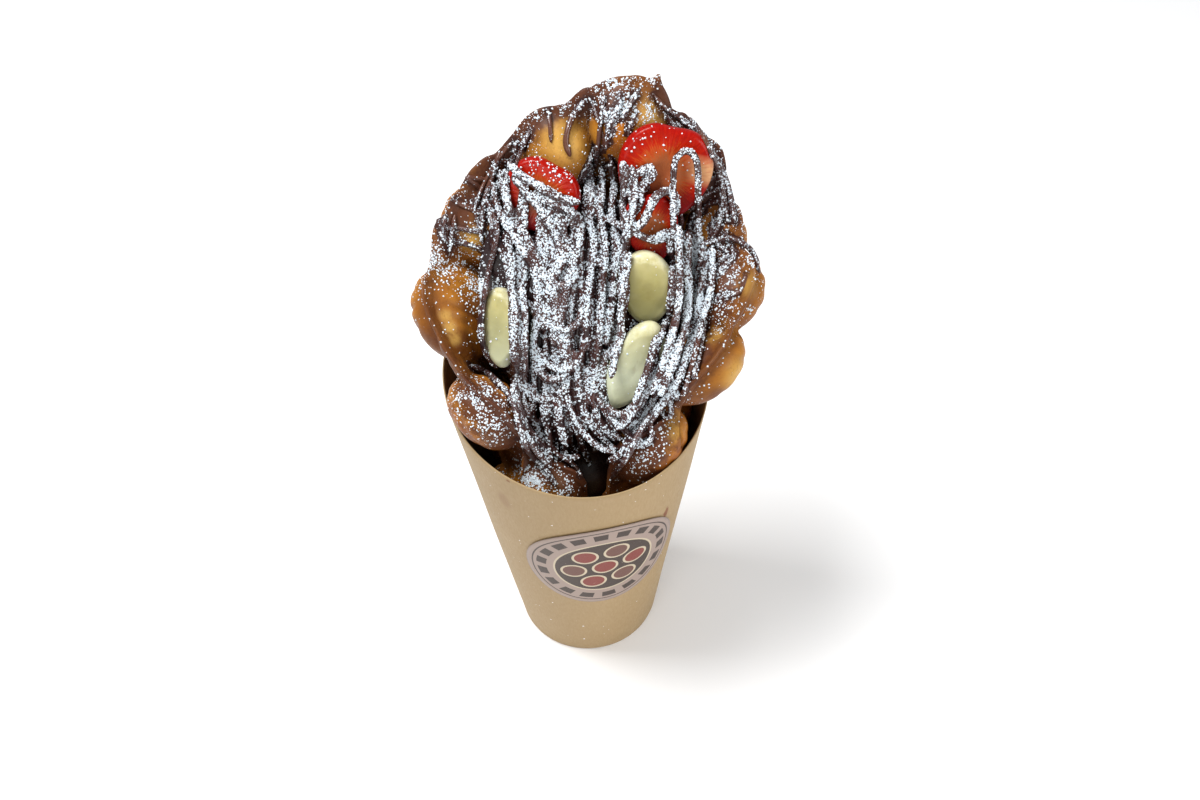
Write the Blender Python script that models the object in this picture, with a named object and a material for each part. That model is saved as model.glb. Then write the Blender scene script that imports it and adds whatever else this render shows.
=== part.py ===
"""Bubble waffle rolled into a cone, standing in a paper cup, filled with fruit under chocolate sauce.

Frame: metres, +Z up, origin at the middle of the cup's foot, -Y towards the low, open front.
Angles round the cup run from the back (+Y), positive towards +X.
"""

import math

import bpy
import numpy as np
from mathutils import Euler, Matrix, Vector

MM = 0.001

# Paper cup
CUP_HEIGHT = 150 * MM
CUP_FOOT_RADIUS = 30 * MM
CUP_RIM_RADIUS = 50 * MM
CUP_COLUMNS = 56
PAPER = 0.6 * MM
BASE_THICK = 1.2 * MM
RIM_RISE_BACK = 10.5 * MM
RIM_RISE_LEFT = 4.5 * MM

# Round paper label on the cup
LABEL_RADIUS = 32 * MM
LABEL_HEIGHT = 82.5 * MM
LABEL_TURN = math.radians(11)
LABEL_GAP = 0.5 * MM
LABEL_THICK = 0.3 * MM
LABEL_COLUMNS = 36
LABEL_RINGS = 4

# Waffle sheet
CUP_GAP = 0.4 * MM
WEB_HALF = 1.7 * MM
BUBBLE_RISE = 11.6 * MM
BUBBLE_RADIUS = 14.6 * MM
BUBBLE_STRETCH = 1.1
BUBBLE_ROUNDNESS = 0.58
FLANGE = 2.5 * MM
CONE_BOTTOM = 34 * MM
CONE_FLOOR = 8 * MM
WAFFLE_COLUMNS = 168
WAFFLE_ROWS = 92
WAFFLE_FACES_KEPT = 0.09

# How the cone opens above the cup
STRAIGHT_TOP = 170 * MM
WIDENING = 0.13
FLARE_BELOW_RIM = 3 * MM
LEFT_FLARE = 0.37
RIGHT_FLARE = 0.31
BACK_FLARE = 0.06
FRONT_SHARE = 0.3
LEAN_START = 146 * MM
LEAN_SLOPE = 0.085

# Inside the cup the bubbles are pressed flat against the filling
PRESSED_BELOW = 112 * MM
FREE_ABOVE = 126 * MM

# Height of the waffle's edge at each angle, in degrees and metres
EDGE = [
    (-180, 104 * MM),
    (-155, 137 * MM),
    (-122, 170 * MM),
    (-100, 186 * MM),
    (-78, 197 * MM),
    (-62, 208 * MM),
    (-39, 221 * MM),
    (-20, 233 * MM),
    (0, 240 * MM),
    (18, 244 * MM),
    (34, 235 * MM),
    (48, 222 * MM),
    (63, 210 * MM),
    (80, 198 * MM),
    (103, 182 * MM),
    (131, 152 * MM),
    (158, 120 * MM),
]

# The bubbles that show along the edge and on the back wall: angle in degrees, height, size
SHOWN_BUBBLES = [
    (15, 230 * MM, 0.92),
    (-13, 219 * MM, 0.95),
    (41, 212 * MM, 0.86),
    (-46, 196 * MM, 0.97),
    (60, 192 * MM, 0.86),
    (-77, 179 * MM, 1.06),
    (80, 182 * MM, 0.98),
    (-122, 156 * MM, 1.02),
    (104, 166 * MM, 1.04),
    (-155, 124 * MM, 0.95),
    (131, 136 * MM, 1.06),
]

# Rows of more bubbles fill the rest of the sheet
ROW_TOP = 204 * MM
ROW_BOTTOM = 62 * MM
ROW_STEP = 27 * MM
BUBBLE_PITCH = 31 * MM
CLOSEST_BUBBLE = 25 * MM
ROOM_TO_EDGE = 11.7 * MM

# Heap of sauce
FILLING_GAP = 2.5 * MM
FILLING_FLOOR_GAP = 3 * MM
HEAP_MIDDLE = 174 * MM
HEAP_SLOPE = 1.25
HEAP_BULGE = 9 * MM
HEAP_LUMP = 1.3 * MM
HEAP_COLUMNS = 44
HEAP_SIDE_ROWS = 9
HEAP_TOP_ROWS = 12

# Thick threads of sauce that run down the heap
ROPES = 9
ROPE_RADIUS = 2.3 * MM
ROPE_SWAY = 1.6 * MM
ROPE_STEPS = 13
ROPES_TOP_HALF = 17 * MM
ROPES_FOOT_HALF = 10.5 * MM
ROPES_BACK = 25 * MM
ROPES_BACK_OF_FRUIT = 14 * MM
ROPES_BESIDE_FRUIT = 3
ROPES_FRONT = -21 * MM

# Fruit slices: width, length, thickness in millimetres
FRUIT_GAP = 0.7 * MM
STRAWBERRIES = {
    "strawberry_right": (37, 37, 6),
    "strawberry_left": (30, 27, 6),
    "strawberry_middle": (21, 26, 6),
}
BANANAS = {
    "banana_upper": (19, 27, 6),
    "banana_lower": (18, 34, 6.5),
    "banana_left": (17, 29, 7),
}

# Where each slice's middle lies over the heap's slope: x, y and lift in millimetres, then turns
# about its own X, Y and Z in degrees
FRUIT_PLACES = {
    "strawberry_right": ((33, 31, 0), (14, 4, -14)),
    "strawberry_left": ((-10.5, 27, -2.5), (14, 0, -30)),
    "strawberry_middle": ((28, 19.5, 3.3), (18, 0, 6)),
    "banana_upper": ((26, 6, 2.5), (20, 0, 4)),
    "banana_lower": ((21, -11.5, 2), (16, 6, -24)),
    "banana_left": ((-26, -2, 0.5), (0, -24, 0)),
}


def clear_scene():
    for old in list(bpy.data.objects):
        bpy.data.objects.remove(old, do_unlink=True)


def finish(name, colour, roughness, metallic=0.0):
    made = bpy.data.materials.new(name)
    made.use_nodes = True
    shader = made.node_tree.nodes["Principled BSDF"]
    shader.inputs["Base Color"].default_value = (*colour, 1.0)
    shader.inputs["Roughness"].default_value = roughness
    shader.inputs["Metallic"].default_value = metallic
    made.diffuse_color = (*colour, 1.0)
    return made


def mesh_object(name, points, faces, material):
    mesh = bpy.data.meshes.new(name)
    mesh.from_pydata([tuple(point) for point in points], [], faces)
    mesh.update()
    mesh.shade_smooth()
    mesh.set_sharp_from_angle(angle=math.radians(35))
    mesh.materials.append(material)
    made = bpy.data.objects.new(name, mesh)
    bpy.context.scene.collection.objects.link(made)
    return made


def capped(rings, first_tip, last_tip):
    """Points and faces of a closed skin: equal rings of points, with a fan to a tip at either end."""
    columns = len(rings[0])
    points = [*np.concatenate(rings), first_tip, last_tip]
    first, last = len(points) - 2, len(points) - 1
    top = (len(rings) - 1) * columns
    faces = []
    for column in range(columns):
        beside = (column + 1) % columns
        faces.append((first, beside, column))
        for low in range(0, top, columns):
            high = low + columns
            faces.append((low + column, low + beside, high + beside, high + column))
        faces.append((last, top + column, top + beside))
    return points, faces


def turns(columns):
    """Angles of the columns of a ring, in the order that makes its faces point out."""
    return -2 * np.pi * np.arange(columns) / columns


def around(radius, angle, height):
    """Rows of x, y, z at these distances from the upright axis."""
    return np.stack([radius * np.sin(angle), radius * np.cos(angle), height + 0 * angle], -1)


def smooth_step(value):
    share = np.clip(value, 0.0, 1.0)
    return share * share * (3 - 2 * share)


def cup_radius(height):
    """Outer radius of the cup's wall."""
    return CUP_FOOT_RADIUS + (CUP_RIM_RADIUS - CUP_FOOT_RADIUS) * height / CUP_HEIGHT


def rim_height(angle):
    return CUP_HEIGHT + RIM_RISE_BACK * np.cos(angle) - RIM_RISE_LEFT * np.sin(angle)


def paper_cup(material):
    """A tapered paper wall with a slanting rim and a flat base."""
    angle = turns(CUP_COLUMNS)
    foot, rim = 0 * angle, rim_height(angle)
    outside = [around(cup_radius(height), angle, height) for height in (foot, rim / 2, rim)]
    inside = [
        around(cup_radius(height) - PAPER, angle, height)
        for height in (rim, rim / 2, foot + BASE_THICK)
    ]
    points, faces = capped([*outside, *inside], (0, 0, 0), (0, 0, BASE_THICK))
    return mesh_object("paper_cup", points, faces, material)


def cup_label(material):
    """A thin round label that follows the cup's wall at the front."""
    slope = math.atan2(CUP_RIM_RADIUS - CUP_FOOT_RADIUS, CUP_HEIGHT)
    middle = math.pi - LABEL_TURN
    turn = -turns(LABEL_COLUMNS)

    def ring(share, lift):
        across = LABEL_RADIUS * share * np.cos(turn)
        height = LABEL_HEIGHT + LABEL_RADIUS * share * np.sin(turn) * math.cos(slope)
        return around(cup_radius(height) + lift, middle - across / cup_radius(height), height)

    shares = [(number + 1) / LABEL_RINGS for number in range(LABEL_RINGS)]
    back = [ring(share, LABEL_GAP) for share in shares]
    front = [ring(share, LABEL_GAP + LABEL_THICK) for share in reversed(shares)]
    tips = ring(0, LABEL_GAP)[0], ring(0, LABEL_GAP + LABEL_THICK)[0]
    points, faces = capped([*back, *front], *tips)
    return mesh_object("cup_label", points, faces, material)


def wall_radius(angle, height):
    """Radius of the waffle's middle surface about its own leaning axis."""
    straight = cup_radius(np.minimum(height, STRAIGHT_TOP))
    tapered = straight - PAPER - CUP_GAP - BUBBLE_RISE - WEB_HALF
    widened = WIDENING * np.maximum(height - STRAIGHT_TOP, 0)
    risen = np.maximum(height - rim_height(angle) + FLARE_BELOW_RIM, 0)
    to_side = np.sin(angle) ** 2
    to_front = np.clip(-np.cos(angle), 0, 1)
    flare = np.where(np.sin(angle) > 0, RIGHT_FLARE, LEFT_FLARE) * (1 - FRONT_SHARE * to_front)
    return tapered + widened + risen * (flare * to_side + BACK_FLARE * (1 - to_side))


def wall_point(angle, height):
    """Points of the waffle's middle surface, as rows of x, y, z."""
    points = around(wall_radius(angle, height), angle, height)
    points[..., 0] += LEAN_SLOPE * np.maximum(height - LEAN_START, 0)
    return points


def edge_height(angle):
    """Height of the waffle's edge, smooth between the named heights."""
    degrees = (np.degrees(angle) + 180) % 360 - 180
    named = np.array([*EDGE, (EDGE[0][0] + 360, EDGE[0][1])])
    place = np.clip(np.searchsorted(named[:, 0], degrees, side="right") - 1, 0, len(EDGE) - 1)
    start, end = named[place], named[place + 1]
    share = (degrees - start[..., 0]) / (end[..., 0] - start[..., 0])
    return start[..., 1] + (end[..., 1] - start[..., 1]) * smooth_step(share)


def all_bubbles():
    """The named bubbles, then rows of more wherever the sheet has room for one."""
    placed = [(math.radians(turn), height, size) for turn, height, size in SHOWN_BUBBLES]
    rows = int((ROW_TOP - ROW_BOTTOM) / ROW_STEP) + 1
    for row in range(rows):
        height = ROW_TOP - row * ROW_STEP
        girth = 2 * math.pi * float(wall_radius(np.array(math.pi / 4), height))
        count = max(5, round(girth / BUBBLE_PITCH))
        for step in range(count):
            from_back = 2 * math.pi * (step + 0.5 * (row % 2)) / count
            angle = (from_back + math.pi) % (2 * math.pi) - math.pi
            here = wall_point(np.array(angle), np.array(height))
            others = [wall_point(np.array(turn), np.array(level)) for turn, level, _ in placed]
            nearest = min(np.linalg.norm(here - other) for other in others)
            room = float(edge_height(np.array(angle))) - height
            if nearest > CLOSEST_BUBBLE and room > ROOM_TO_EDGE:
                placed.append((angle, height, 0.95 + 0.05 * math.sin(7 * angle + 3 * row)))
    return placed


def bubble_height(points, bubbles):
    """How far the bubbles raise each face of the sheet at these points of its middle surface."""
    raised = np.zeros(points.shape[:-1])
    for angle, height, size in bubbles:
        off = points - wall_point(np.array(angle), np.array(height))
        off[..., 2] /= BUBBLE_STRETCH
        apart = np.linalg.norm(off, axis=-1) / (BUBBLE_RADIUS * size)
        dome = np.clip(1 - apart**2, 0, 1) ** BUBBLE_ROUNDNESS
        raised = np.maximum(raised, BUBBLE_RISE * min(size, 1.0) * dome)
    return raised


def scalloped_edge(angle, bubbles):
    """The edge, raised where it runs round one of the named bubbles."""
    edge = edge_height(angle)
    for turn, height, size in bubbles[: len(SHOWN_BUBBLES)]:
        radius = BUBBLE_RADIUS * size + FLANGE
        gap = (angle - turn + math.pi) % (2 * math.pi) - math.pi
        across = gap * wall_radius(angle, height)
        round_top = height + BUBBLE_STRETCH * np.sqrt(np.clip(radius**2 - across**2, 0, None))
        edge = np.where(np.abs(across) < radius, np.maximum(edge, round_top), edge)
    return edge


def waffle(material, bubbles):
    """The rolled sheet: both faces displaced by the bubbles, joined at the edge and closed below."""
    angles = turns(WAFFLE_COLUMNS)
    low = CONE_BOTTOM + CONE_FLOOR
    share = np.linspace(0, 1, WAFFLE_ROWS)[:, None]
    height = low + (scalloped_edge(angles, bubbles) - low) * share
    angle = np.broadcast_to(angles, height.shape)
    middle = wall_point(angle, height)
    outward = around(1, angle, 0)
    raised = bubble_height(middle, bubbles)
    free = smooth_step((height - PRESSED_BELOW) / (FREE_ABOVE - PRESSED_BELOW))
    rounded_edge = np.where(share < 1, 1.0, 0.3)
    outer = middle + outward * (WEB_HALF * rounded_edge + raised)[..., None]
    inner = middle - outward * (WEB_HALF * rounded_edge + raised * free)[..., None]
    drop = np.array([0, 0, CONE_FLOOR])
    under = [middle[0] * (0.5, 0.5, 1) - 0.9 * drop, middle[0] * (0.85, 0.85, 1) - 0.5 * drop]
    rings = [*under, *outer, *inner[::-1], inner[0] * (0.5, 0.5, 1) - 0.05 * drop]
    tips = (0, 0, CONE_BOTTOM), (0, 0, low - 0.1 * CONE_FLOOR)
    made = mesh_object("waffle", *capped(rings, *tips), material)
    thinner = made.modifiers.new("Fewer faces", "DECIMATE")
    thinner.ratio = WAFFLE_FACES_KEPT
    return made


def filling_radius(angle, height):
    """The filling's side: just inside the bubbles where they stand free, just inside the sheet below."""
    free = smooth_step((height - PRESSED_BELOW) / (FREE_ABOVE - PRESSED_BELOW))
    bubbles = (BUBBLE_RISE + FILLING_GAP) * free
    return wall_radius(angle, height) - WEB_HALF - FILLING_GAP - bubbles


def heap_height(x, y, share):
    """The heap's sloping top: highest at the back, rounded up in the middle."""
    lumps = np.sin(x / (5.1 * MM)) * np.cos(y / (6.3 * MM)) + np.sin(y / (9.0 * MM) + x / (11 * MM))
    rounded = HEAP_BULGE * (1 - share**2)
    return HEAP_MIDDLE + HEAP_SLOPE * y + rounded + HEAP_LUMP * lumps * (1 - share**4)


def heap_side(angle):
    """Where the heap's sloping top meets the filling's side, at each angle."""
    height = HEAP_MIDDLE + 0 * angle
    for _ in range(60):
        radius = filling_radius(angle, height)
        wanted = heap_height(radius * np.sin(angle), radius * np.cos(angle), 1.0)
        height = height + 0.35 * (wanted - height)
    return filling_radius(angle, height), height


def heap_point(x, y):
    """A point on the heap's top over x and y."""
    radius, _ = heap_side(np.array([math.atan2(x, y)]))
    share = min(1.0, math.hypot(x, y) / float(radius[0]))
    return Vector((x, y, float(heap_height(x, y, share))))


def heap_core(material):
    """The body of the filling: a plug that fits the cone, under the heap's sloping top."""
    angle = turns(HEAP_COLUMNS)
    radius, level = heap_side(angle)
    low = CONE_BOTTOM + CONE_FLOOR + FILLING_FLOOR_GAP
    rings = []
    for share in np.linspace(0, 1, HEAP_SIDE_ROWS):
        height = low + (level - low) * share
        rings.append(around(filling_radius(angle, height), angle, height))
    for share in np.linspace(1, 0, HEAP_TOP_ROWS, endpoint=False)[1:]:
        x, y = radius * share * np.sin(angle), radius * share * np.cos(angle)
        rings.append(np.stack([x, y, heap_height(x, y, share)], -1))
    tips = (0, 0, low), (0, 0, float(heap_height(0.0, 0.0, 0.0)))
    return mesh_object("filling", *capped(rings, *tips), material)


def sauce_rope(number, material):
    """One thick thread of sauce that runs down the heap from the back to the front."""
    side = 2 * number / (ROPES - 1) - 1
    back = ROPES_BACK_OF_FRUIT if number >= ROPES - ROPES_BESIDE_FRUIT else ROPES_BACK
    curve = bpy.data.curves.new(f"rope_{number}", "CURVE")
    curve.dimensions = "3D"
    curve.bevel_depth = ROPE_RADIUS
    curve.bevel_resolution = 1
    curve.use_fill_caps = True
    line = curve.splines.new("POLY")
    line.points.add(ROPE_STEPS - 1)
    for step, share in enumerate(np.linspace(0, 1, ROPE_STEPS)):
        half = ROPES_TOP_HALF + (ROPES_FOOT_HALF - ROPES_TOP_HALF) * share
        x = side * half + ROPE_SWAY * math.sin(5 * share + 1.7 * number)
        y = back + (ROPES_FRONT - back) * share
        spot = heap_point(x, y) + Vector((0, 0, 0.2 * ROPE_RADIUS))
        line.points[step].co = (*spot, 1)
    guide = bpy.data.objects.new(f"rope_{number}", curve)
    bpy.context.scene.collection.objects.link(guide)
    graph = bpy.context.evaluated_depsgraph_get()
    mesh = bpy.data.meshes.new_from_object(guide.evaluated_get(graph))
    mesh.materials.append(material)
    bpy.data.objects.remove(guide)
    return bpy.data.objects.new(f"rope_{number}", mesh)


def apply_modifiers(solid):
    """Keeps what the modifiers make as the object's own mesh."""
    graph = bpy.context.evaluated_depsgraph_get()
    mesh = bpy.data.meshes.new_from_object(solid.evaluated_get(graph))
    solid.modifiers.clear()
    solid.data = mesh


def fuse(solid, pieces):
    """One Boolean union of the solid with all the pieces, which are then removed."""
    group = bpy.data.collections.new("fused pieces")
    bpy.context.scene.collection.children.link(group)
    for piece in pieces:
        group.objects.link(piece)
    union = solid.modifiers.new("Fuse", "BOOLEAN")
    union.operation = "UNION"
    union.operand_type = "COLLECTION"
    union.collection = group
    apply_modifiers(solid)
    for piece in pieces:
        bpy.data.objects.remove(piece)
    bpy.data.collections.remove(group)


def cut_clear(solid, others):
    """Cuts room for the other pieces out of the solid, with a small gap all round them."""
    for other in others:
        cutter = other.copy()
        cutter.data = other.data.copy()
        bpy.context.scene.collection.objects.link(cutter)
        normals = [Vector(vertex.normal) for vertex in cutter.data.vertices]
        for vertex, normal in zip(cutter.data.vertices, normals):
            vertex.co += normal * FRUIT_GAP
        cut = solid.modifiers.new("Room", "BOOLEAN")
        cut.operation = "DIFFERENCE"
        cut.object = cutter
        apply_modifiers(solid)
        bpy.data.objects.remove(cutter)


def disc(name, outline, rings, thick, material):
    """A flat slice: the outline repeated at each ring's size and level, closed on both faces."""
    x, y = outline
    made = [np.stack([x * size, y * size, thick * level + 0 * x], -1) for size, level in rings]
    return mesh_object(name, *capped(made, (0, 0, -thick / 2), (0, 0, thick / 2)), material)


def banana_slice(name, material):
    """An oblique slice of peeled banana: an oval disc with softly rounded rims."""
    wide, long, thick = (size * MM for size in BANANAS[name])
    angle = -turns(24)
    wave = 1 + 0.02 * np.cos(3 * angle)
    outline = wide / 2 * wave * np.cos(angle), long / 2 * wave * np.sin(angle)
    rings = [(0.90, -0.5), (0.985, -0.38), (1.0, 0.0), (0.985, 0.38), (0.90, 0.5)]
    return disc(name, outline, rings, thick, material)


def strawberry_slice(name, material):
    """A lengthwise slice of strawberry: broad at the stalk end, pointed at the tip."""
    wide, long, thick = (size * MM for size in STRAWBERRIES[name])
    angle = -turns(32)
    pointed = 1 - 0.30 * (0.5 - 0.5 * np.sin(angle)) ** 1.5
    dimple = 1 - 0.10 * np.exp(-((angle - np.pi / 2) ** 2) / 0.12)
    outline = wide / 2 * pointed * np.cos(angle), long / 2 * dimple * np.sin(angle)
    rings = [(0.86, -0.5), (0.97, -0.34), (1.0, 0.0), (0.97, 0.34), (0.90, 0.5)]
    return disc(name, outline, rings, thick, material)


def lay_on_heap(slice_, place, turn):
    """Lays a slice on the heap's slope, lifted off it, then turns it about its own axes."""
    x, y, lift = (size * MM for size in place)
    slope = math.atan(HEAP_SLOPE)
    up = Vector((0, -math.sin(slope), math.cos(slope)))
    middle = Vector((x, y, HEAP_MIDDLE + HEAP_BULGE + HEAP_SLOPE * y)) + up * lift
    own = Euler([math.radians(degrees) for degrees in turn]).to_matrix().to_4x4()
    slice_.data.transform(Matrix.Translation(middle) @ Matrix.Rotation(slope, 4, "X") @ own)


def fruit(strawberry, banana):
    slices = [strawberry_slice(name, strawberry) for name in STRAWBERRIES]
    slices += [banana_slice(name, banana) for name in BANANAS]
    for made in slices:
        lay_on_heap(made, *FRUIT_PLACES[made.name])
    return slices


def filling(material, slices):
    """The heap with its threads of sauce, cut clear of the slices that lie in it."""
    core = heap_core(material)
    fuse(core, [sauce_rope(number, material) for number in range(ROPES)])
    cut_clear(core, slices)
    return core


def main():
    clear_scene()
    paper = finish("cream paper", (0.62, 0.50, 0.33), 0.75)
    label_paper = finish("label paper", (0.42, 0.33, 0.29), 0.5)
    crust = finish("waffle crust", (0.52, 0.23, 0.05), 0.45)
    sauce = finish("chocolate sauce", (0.07, 0.022, 0.012), 0.25)
    strawberry = finish("strawberry", (0.55, 0.015, 0.012), 0.3)
    banana = finish("banana", (0.72, 0.62, 0.30), 0.4)
    paper_cup(paper)
    cup_label(label_paper)
    waffle(crust, all_bubbles())
    filling(sauce, fruit(strawberry, banana))


main()
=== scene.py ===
# %% [markdown]
# # Bubble waffle in a paper cup
# A bubble waffle is one sheet of batter, baked between two plates full of round hollows. While it is warm
# it is rolled into a cone and pushed into a tapered paper cup. The cook fills the cone with fruit, lays
# strings of chocolate sauce over everything and dusts it with powdered sugar.
#
# The plain solids of all these pieces come from a frame that is already made. This lesson gives each one
# the fine shape and the finish of the real food, one piece at a time. Lengths are written in millimetres
# and turned into metres by MM.

import itertools
import math

import bpy
import numpy as np
from mathutils import Euler, Matrix, Vector
from mathutils.bvhtree import BVHTree
from mathutils.kdtree import KDTree


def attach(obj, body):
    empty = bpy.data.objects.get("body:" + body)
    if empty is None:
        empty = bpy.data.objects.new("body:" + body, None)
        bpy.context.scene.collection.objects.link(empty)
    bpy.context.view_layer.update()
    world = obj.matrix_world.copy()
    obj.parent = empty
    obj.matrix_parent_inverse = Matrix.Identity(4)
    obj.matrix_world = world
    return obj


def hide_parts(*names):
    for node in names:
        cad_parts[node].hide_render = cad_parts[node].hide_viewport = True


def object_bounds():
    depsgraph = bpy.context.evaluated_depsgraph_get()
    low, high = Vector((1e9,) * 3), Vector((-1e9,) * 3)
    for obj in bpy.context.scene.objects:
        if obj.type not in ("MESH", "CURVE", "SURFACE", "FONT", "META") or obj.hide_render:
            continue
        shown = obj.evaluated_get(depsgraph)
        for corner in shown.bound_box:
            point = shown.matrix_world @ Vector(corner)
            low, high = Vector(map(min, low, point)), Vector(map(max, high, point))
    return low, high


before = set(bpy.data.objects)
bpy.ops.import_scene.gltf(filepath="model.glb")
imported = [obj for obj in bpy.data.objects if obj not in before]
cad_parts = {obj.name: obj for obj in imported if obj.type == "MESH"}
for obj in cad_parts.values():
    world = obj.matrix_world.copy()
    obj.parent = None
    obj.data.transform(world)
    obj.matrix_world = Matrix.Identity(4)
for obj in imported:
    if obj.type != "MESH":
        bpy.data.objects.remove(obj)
CAD_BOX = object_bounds()
MM = 0.001
print("solids in the frame:", ", ".join(sorted(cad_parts)))

# %% [markdown]
# ## Camera, floor and light
# The photo looks down on the cup at 50 degrees, from a little over half a metre away. Such a view could be
# found by eye, but the cup is a true cone, so its outline gives the lens, the distance and the small roll.
# The floor is plain and pale. One large soft light stands high on the left, a weaker one on the right, and
# a faint one in front, as near a shop window with a white wall beside it.

# %% Camera
PHOTO_WIDTH, PHOTO_HEIGHT, PHOTO_FOCUS = 1200, 800, 1400
SENSOR_WIDTH = 36
ELEVATION = math.radians(50)
ROLL = math.radians(-1.87)
LOOK_AT = Vector((8.02, 0, 135.94)) * MM
DISTANCE = 536.87 * MM


def in_scene(name, data):
    """An object with this data, linked to the scene."""
    made = bpy.data.objects.new(name, data)
    bpy.context.scene.collection.objects.link(made)
    return made


towards_camera = Vector((0, -math.cos(ELEVATION), math.sin(ELEVATION)))
camera = in_scene("camera", bpy.data.cameras.new("camera"))
camera.data.sensor_width = SENSOR_WIDTH
camera.data.lens = SENSOR_WIDTH * PHOTO_FOCUS / PHOTO_WIDTH
level_turn = (-towards_camera).to_track_quat("-Z", "Y").to_matrix()
camera.rotation_euler = (level_turn @ Matrix.Rotation(ROLL, 3, "Z")).to_euler()
camera.location = LOOK_AT + towards_camera * DISTANCE
bpy.context.scene.camera = camera
bpy.context.view_layer.update()
print("camera at", [round(value, 3) for value in camera.location])


def photo_ray(pixel):
    """The direction in which the camera sees a pixel of the photo."""
    right = (pixel[0] - PHOTO_WIDTH / 2) / PHOTO_FOCUS
    up = (PHOTO_HEIGHT / 2 - pixel[1]) / PHOTO_FOCUS
    return (camera.matrix_world.to_3x3() @ Vector((right, up, -1.0))).normalized()

# %% Floor and lights
FLOOR_HALF = 3.0


def soft_light(name, place, size, power, warmth):
    """A square area light that faces the middle of the cup."""
    lamp = in_scene(name, bpy.data.lights.new(name, "AREA"))
    lamp.data.size = size
    lamp.data.energy = power
    lamp.data.color = (1.0, 1.0 - 0.06 * warmth, 1.0 - 0.14 * warmth)
    lamp.location = place
    lamp.rotation_euler = (LOOK_AT - Vector(place)).to_track_quat("-Z", "Y").to_euler()


soft_light("window_light", (-0.35, 0.05, 1.05), 0.42, 11.5, 0.0)
soft_light("wall_light", (0.8, -0.5, 0.6), 0.6, 5.5, 0.2)
soft_light("front_light", (-0.35, -0.9, 0.55), 0.5, 2.2, 0.3)

world = bpy.data.worlds.new("pale room")
world.use_nodes = True
glow = world.node_tree.nodes["Background"].inputs
glow["Color"].default_value = (0.95, 0.97, 1.0, 1.0)
glow["Strength"].default_value = 0.40
bpy.context.scene.world = world
bpy.context.scene.view_settings.view_transform = "Standard"

floor_mesh = bpy.data.meshes.new("floor")
corners = [(x * FLOOR_HALF, y * FLOOR_HALF, 0.0) for x, y in ((-1, -1), (1, -1), (1, 1), (-1, 1))]
floor_mesh.from_pydata(corners, [], [(0, 1, 2, 3)])
floor = in_scene("floor", floor_mesh)
white_board = bpy.data.materials.new("white board")
white_board.use_nodes = True
board = white_board.node_tree.nodes["Principled BSDF"].inputs
board["Base Color"].default_value = (0.97, 0.97, 0.97, 1.0)
board["Roughness"].default_value = 0.9
floor_mesh.materials.append(white_board)

# %% [markdown]
# ## Small tools
# Almost every shape here is a stack of rings of points, closed by a fan at either end: the cup, the sheet
# of waffle, the heap of sauce and the slices of fruit. A thread of sauce is a stack of small rings along a
# path. Two helpers make these, and one more turns the points into an object that rides with the frame.
# Unevenness comes from a smooth noise worked out with numpy, which is quick on many points at once.


# %% Mesh helpers
def capped(rings, first_tip, last_tip):
    """Points and faces of a closed skin: equal rings of points, with a fan to a tip at either end."""
    columns = len(rings[0])
    points = np.concatenate([*rings, [first_tip, last_tip]])
    first, last = len(points) - 2, len(points) - 1
    column = np.arange(columns)
    beside = (column + 1) % columns
    faces = [np.stack([0 * column + first, beside, column], -1).tolist()]
    for low in range(0, (len(rings) - 1) * columns, columns):
        high = low + columns
        faces.append(np.stack([low + column, low + beside, high + beside, high + column], -1).tolist())
    top = (len(rings) - 1) * columns
    faces.append(np.stack([0 * column + last, top + column, top + beside], -1).tolist())
    return points, list(itertools.chain.from_iterable(faces))


def joined(shapes):
    """Several (points, faces) shapes as one."""
    points, faces, start = [], [], 0
    for own_points, own_faces in shapes:
        points.append(own_points)
        faces.extend([tuple(start + corner for corner in face) for face in own_faces])
        start += len(own_points)
    return np.concatenate(points), faces


def object_of(name, shape):
    """An object in the scene with this shape, which is (points, faces)."""
    mesh = bpy.data.meshes.new(name)
    mesh.from_pydata(np.asarray(shape[0]).tolist(), [], shape[1])
    return in_scene(name, mesh)


def piece(name, shape, material, replaced=()):
    """An object of the dressed model, which rides with the frame."""
    made = object_of(name, shape)
    made.data.shade_smooth()
    made.data.materials.append(material)
    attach(made, "root")
    if replaced:
        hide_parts(*replaced)
    print(f"{name}: {len(made.data.vertices)} points, {len(made.data.polygons)} faces")
    return made


def paint(made, name, values):
    """Keeps three numbers on each point of a piece, or the same one three times, for its material."""
    colours = np.ones((len(values), 4), np.float32)
    colours[:, :3] = np.reshape(values, (len(values), -1))
    layer = made.data.color_attributes.new(name=name, type="FLOAT_COLOR", domain="POINT")
    layer.data.foreach_set("color", colours.ravel())


def mesh_shape(mesh):
    """The points and faces of a mesh, as the shapes here have them."""
    points = np.empty(len(mesh.vertices) * 3)
    mesh.vertices.foreach_get("co", points)
    return points.reshape(-1, 3), [tuple(face.vertices) for face in mesh.polygons]


def shape_of(made):
    return mesh_shape(made.data)


def tree_of(shape):
    """A search tree over a shape, for rays."""
    return BVHTree.FromPolygons(shape[0].tolist(), shape[1])


def seen_places(tree, pixels):
    """The places on a shape that the camera sees at these pixels of the photo."""
    hits = [tree.ray_cast(camera.location, photo_ray(pixel))[0] for pixel in pixels]
    return [np.array(hit) for hit in hits if hit is not None]


def nearness(points, spots, radius, power):
    """1 at the nearest of these spots, falling to 0 around the radius."""
    gap = np.min([np.linalg.norm(points - spot, axis=1) for spot in spots], axis=0)
    return np.exp(-((gap / radius) ** power))


def near_spots(points, tree, spots, power):
    """1 where the camera sees these pixels on a shape, falling to 0 around their radii in millimetres."""
    found = [
        nearness(points, [place], radius * MM, power)
        for pixel, radius in spots
        for place in seen_places(tree, [pixel])
    ]
    return np.max(found, axis=0)


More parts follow.
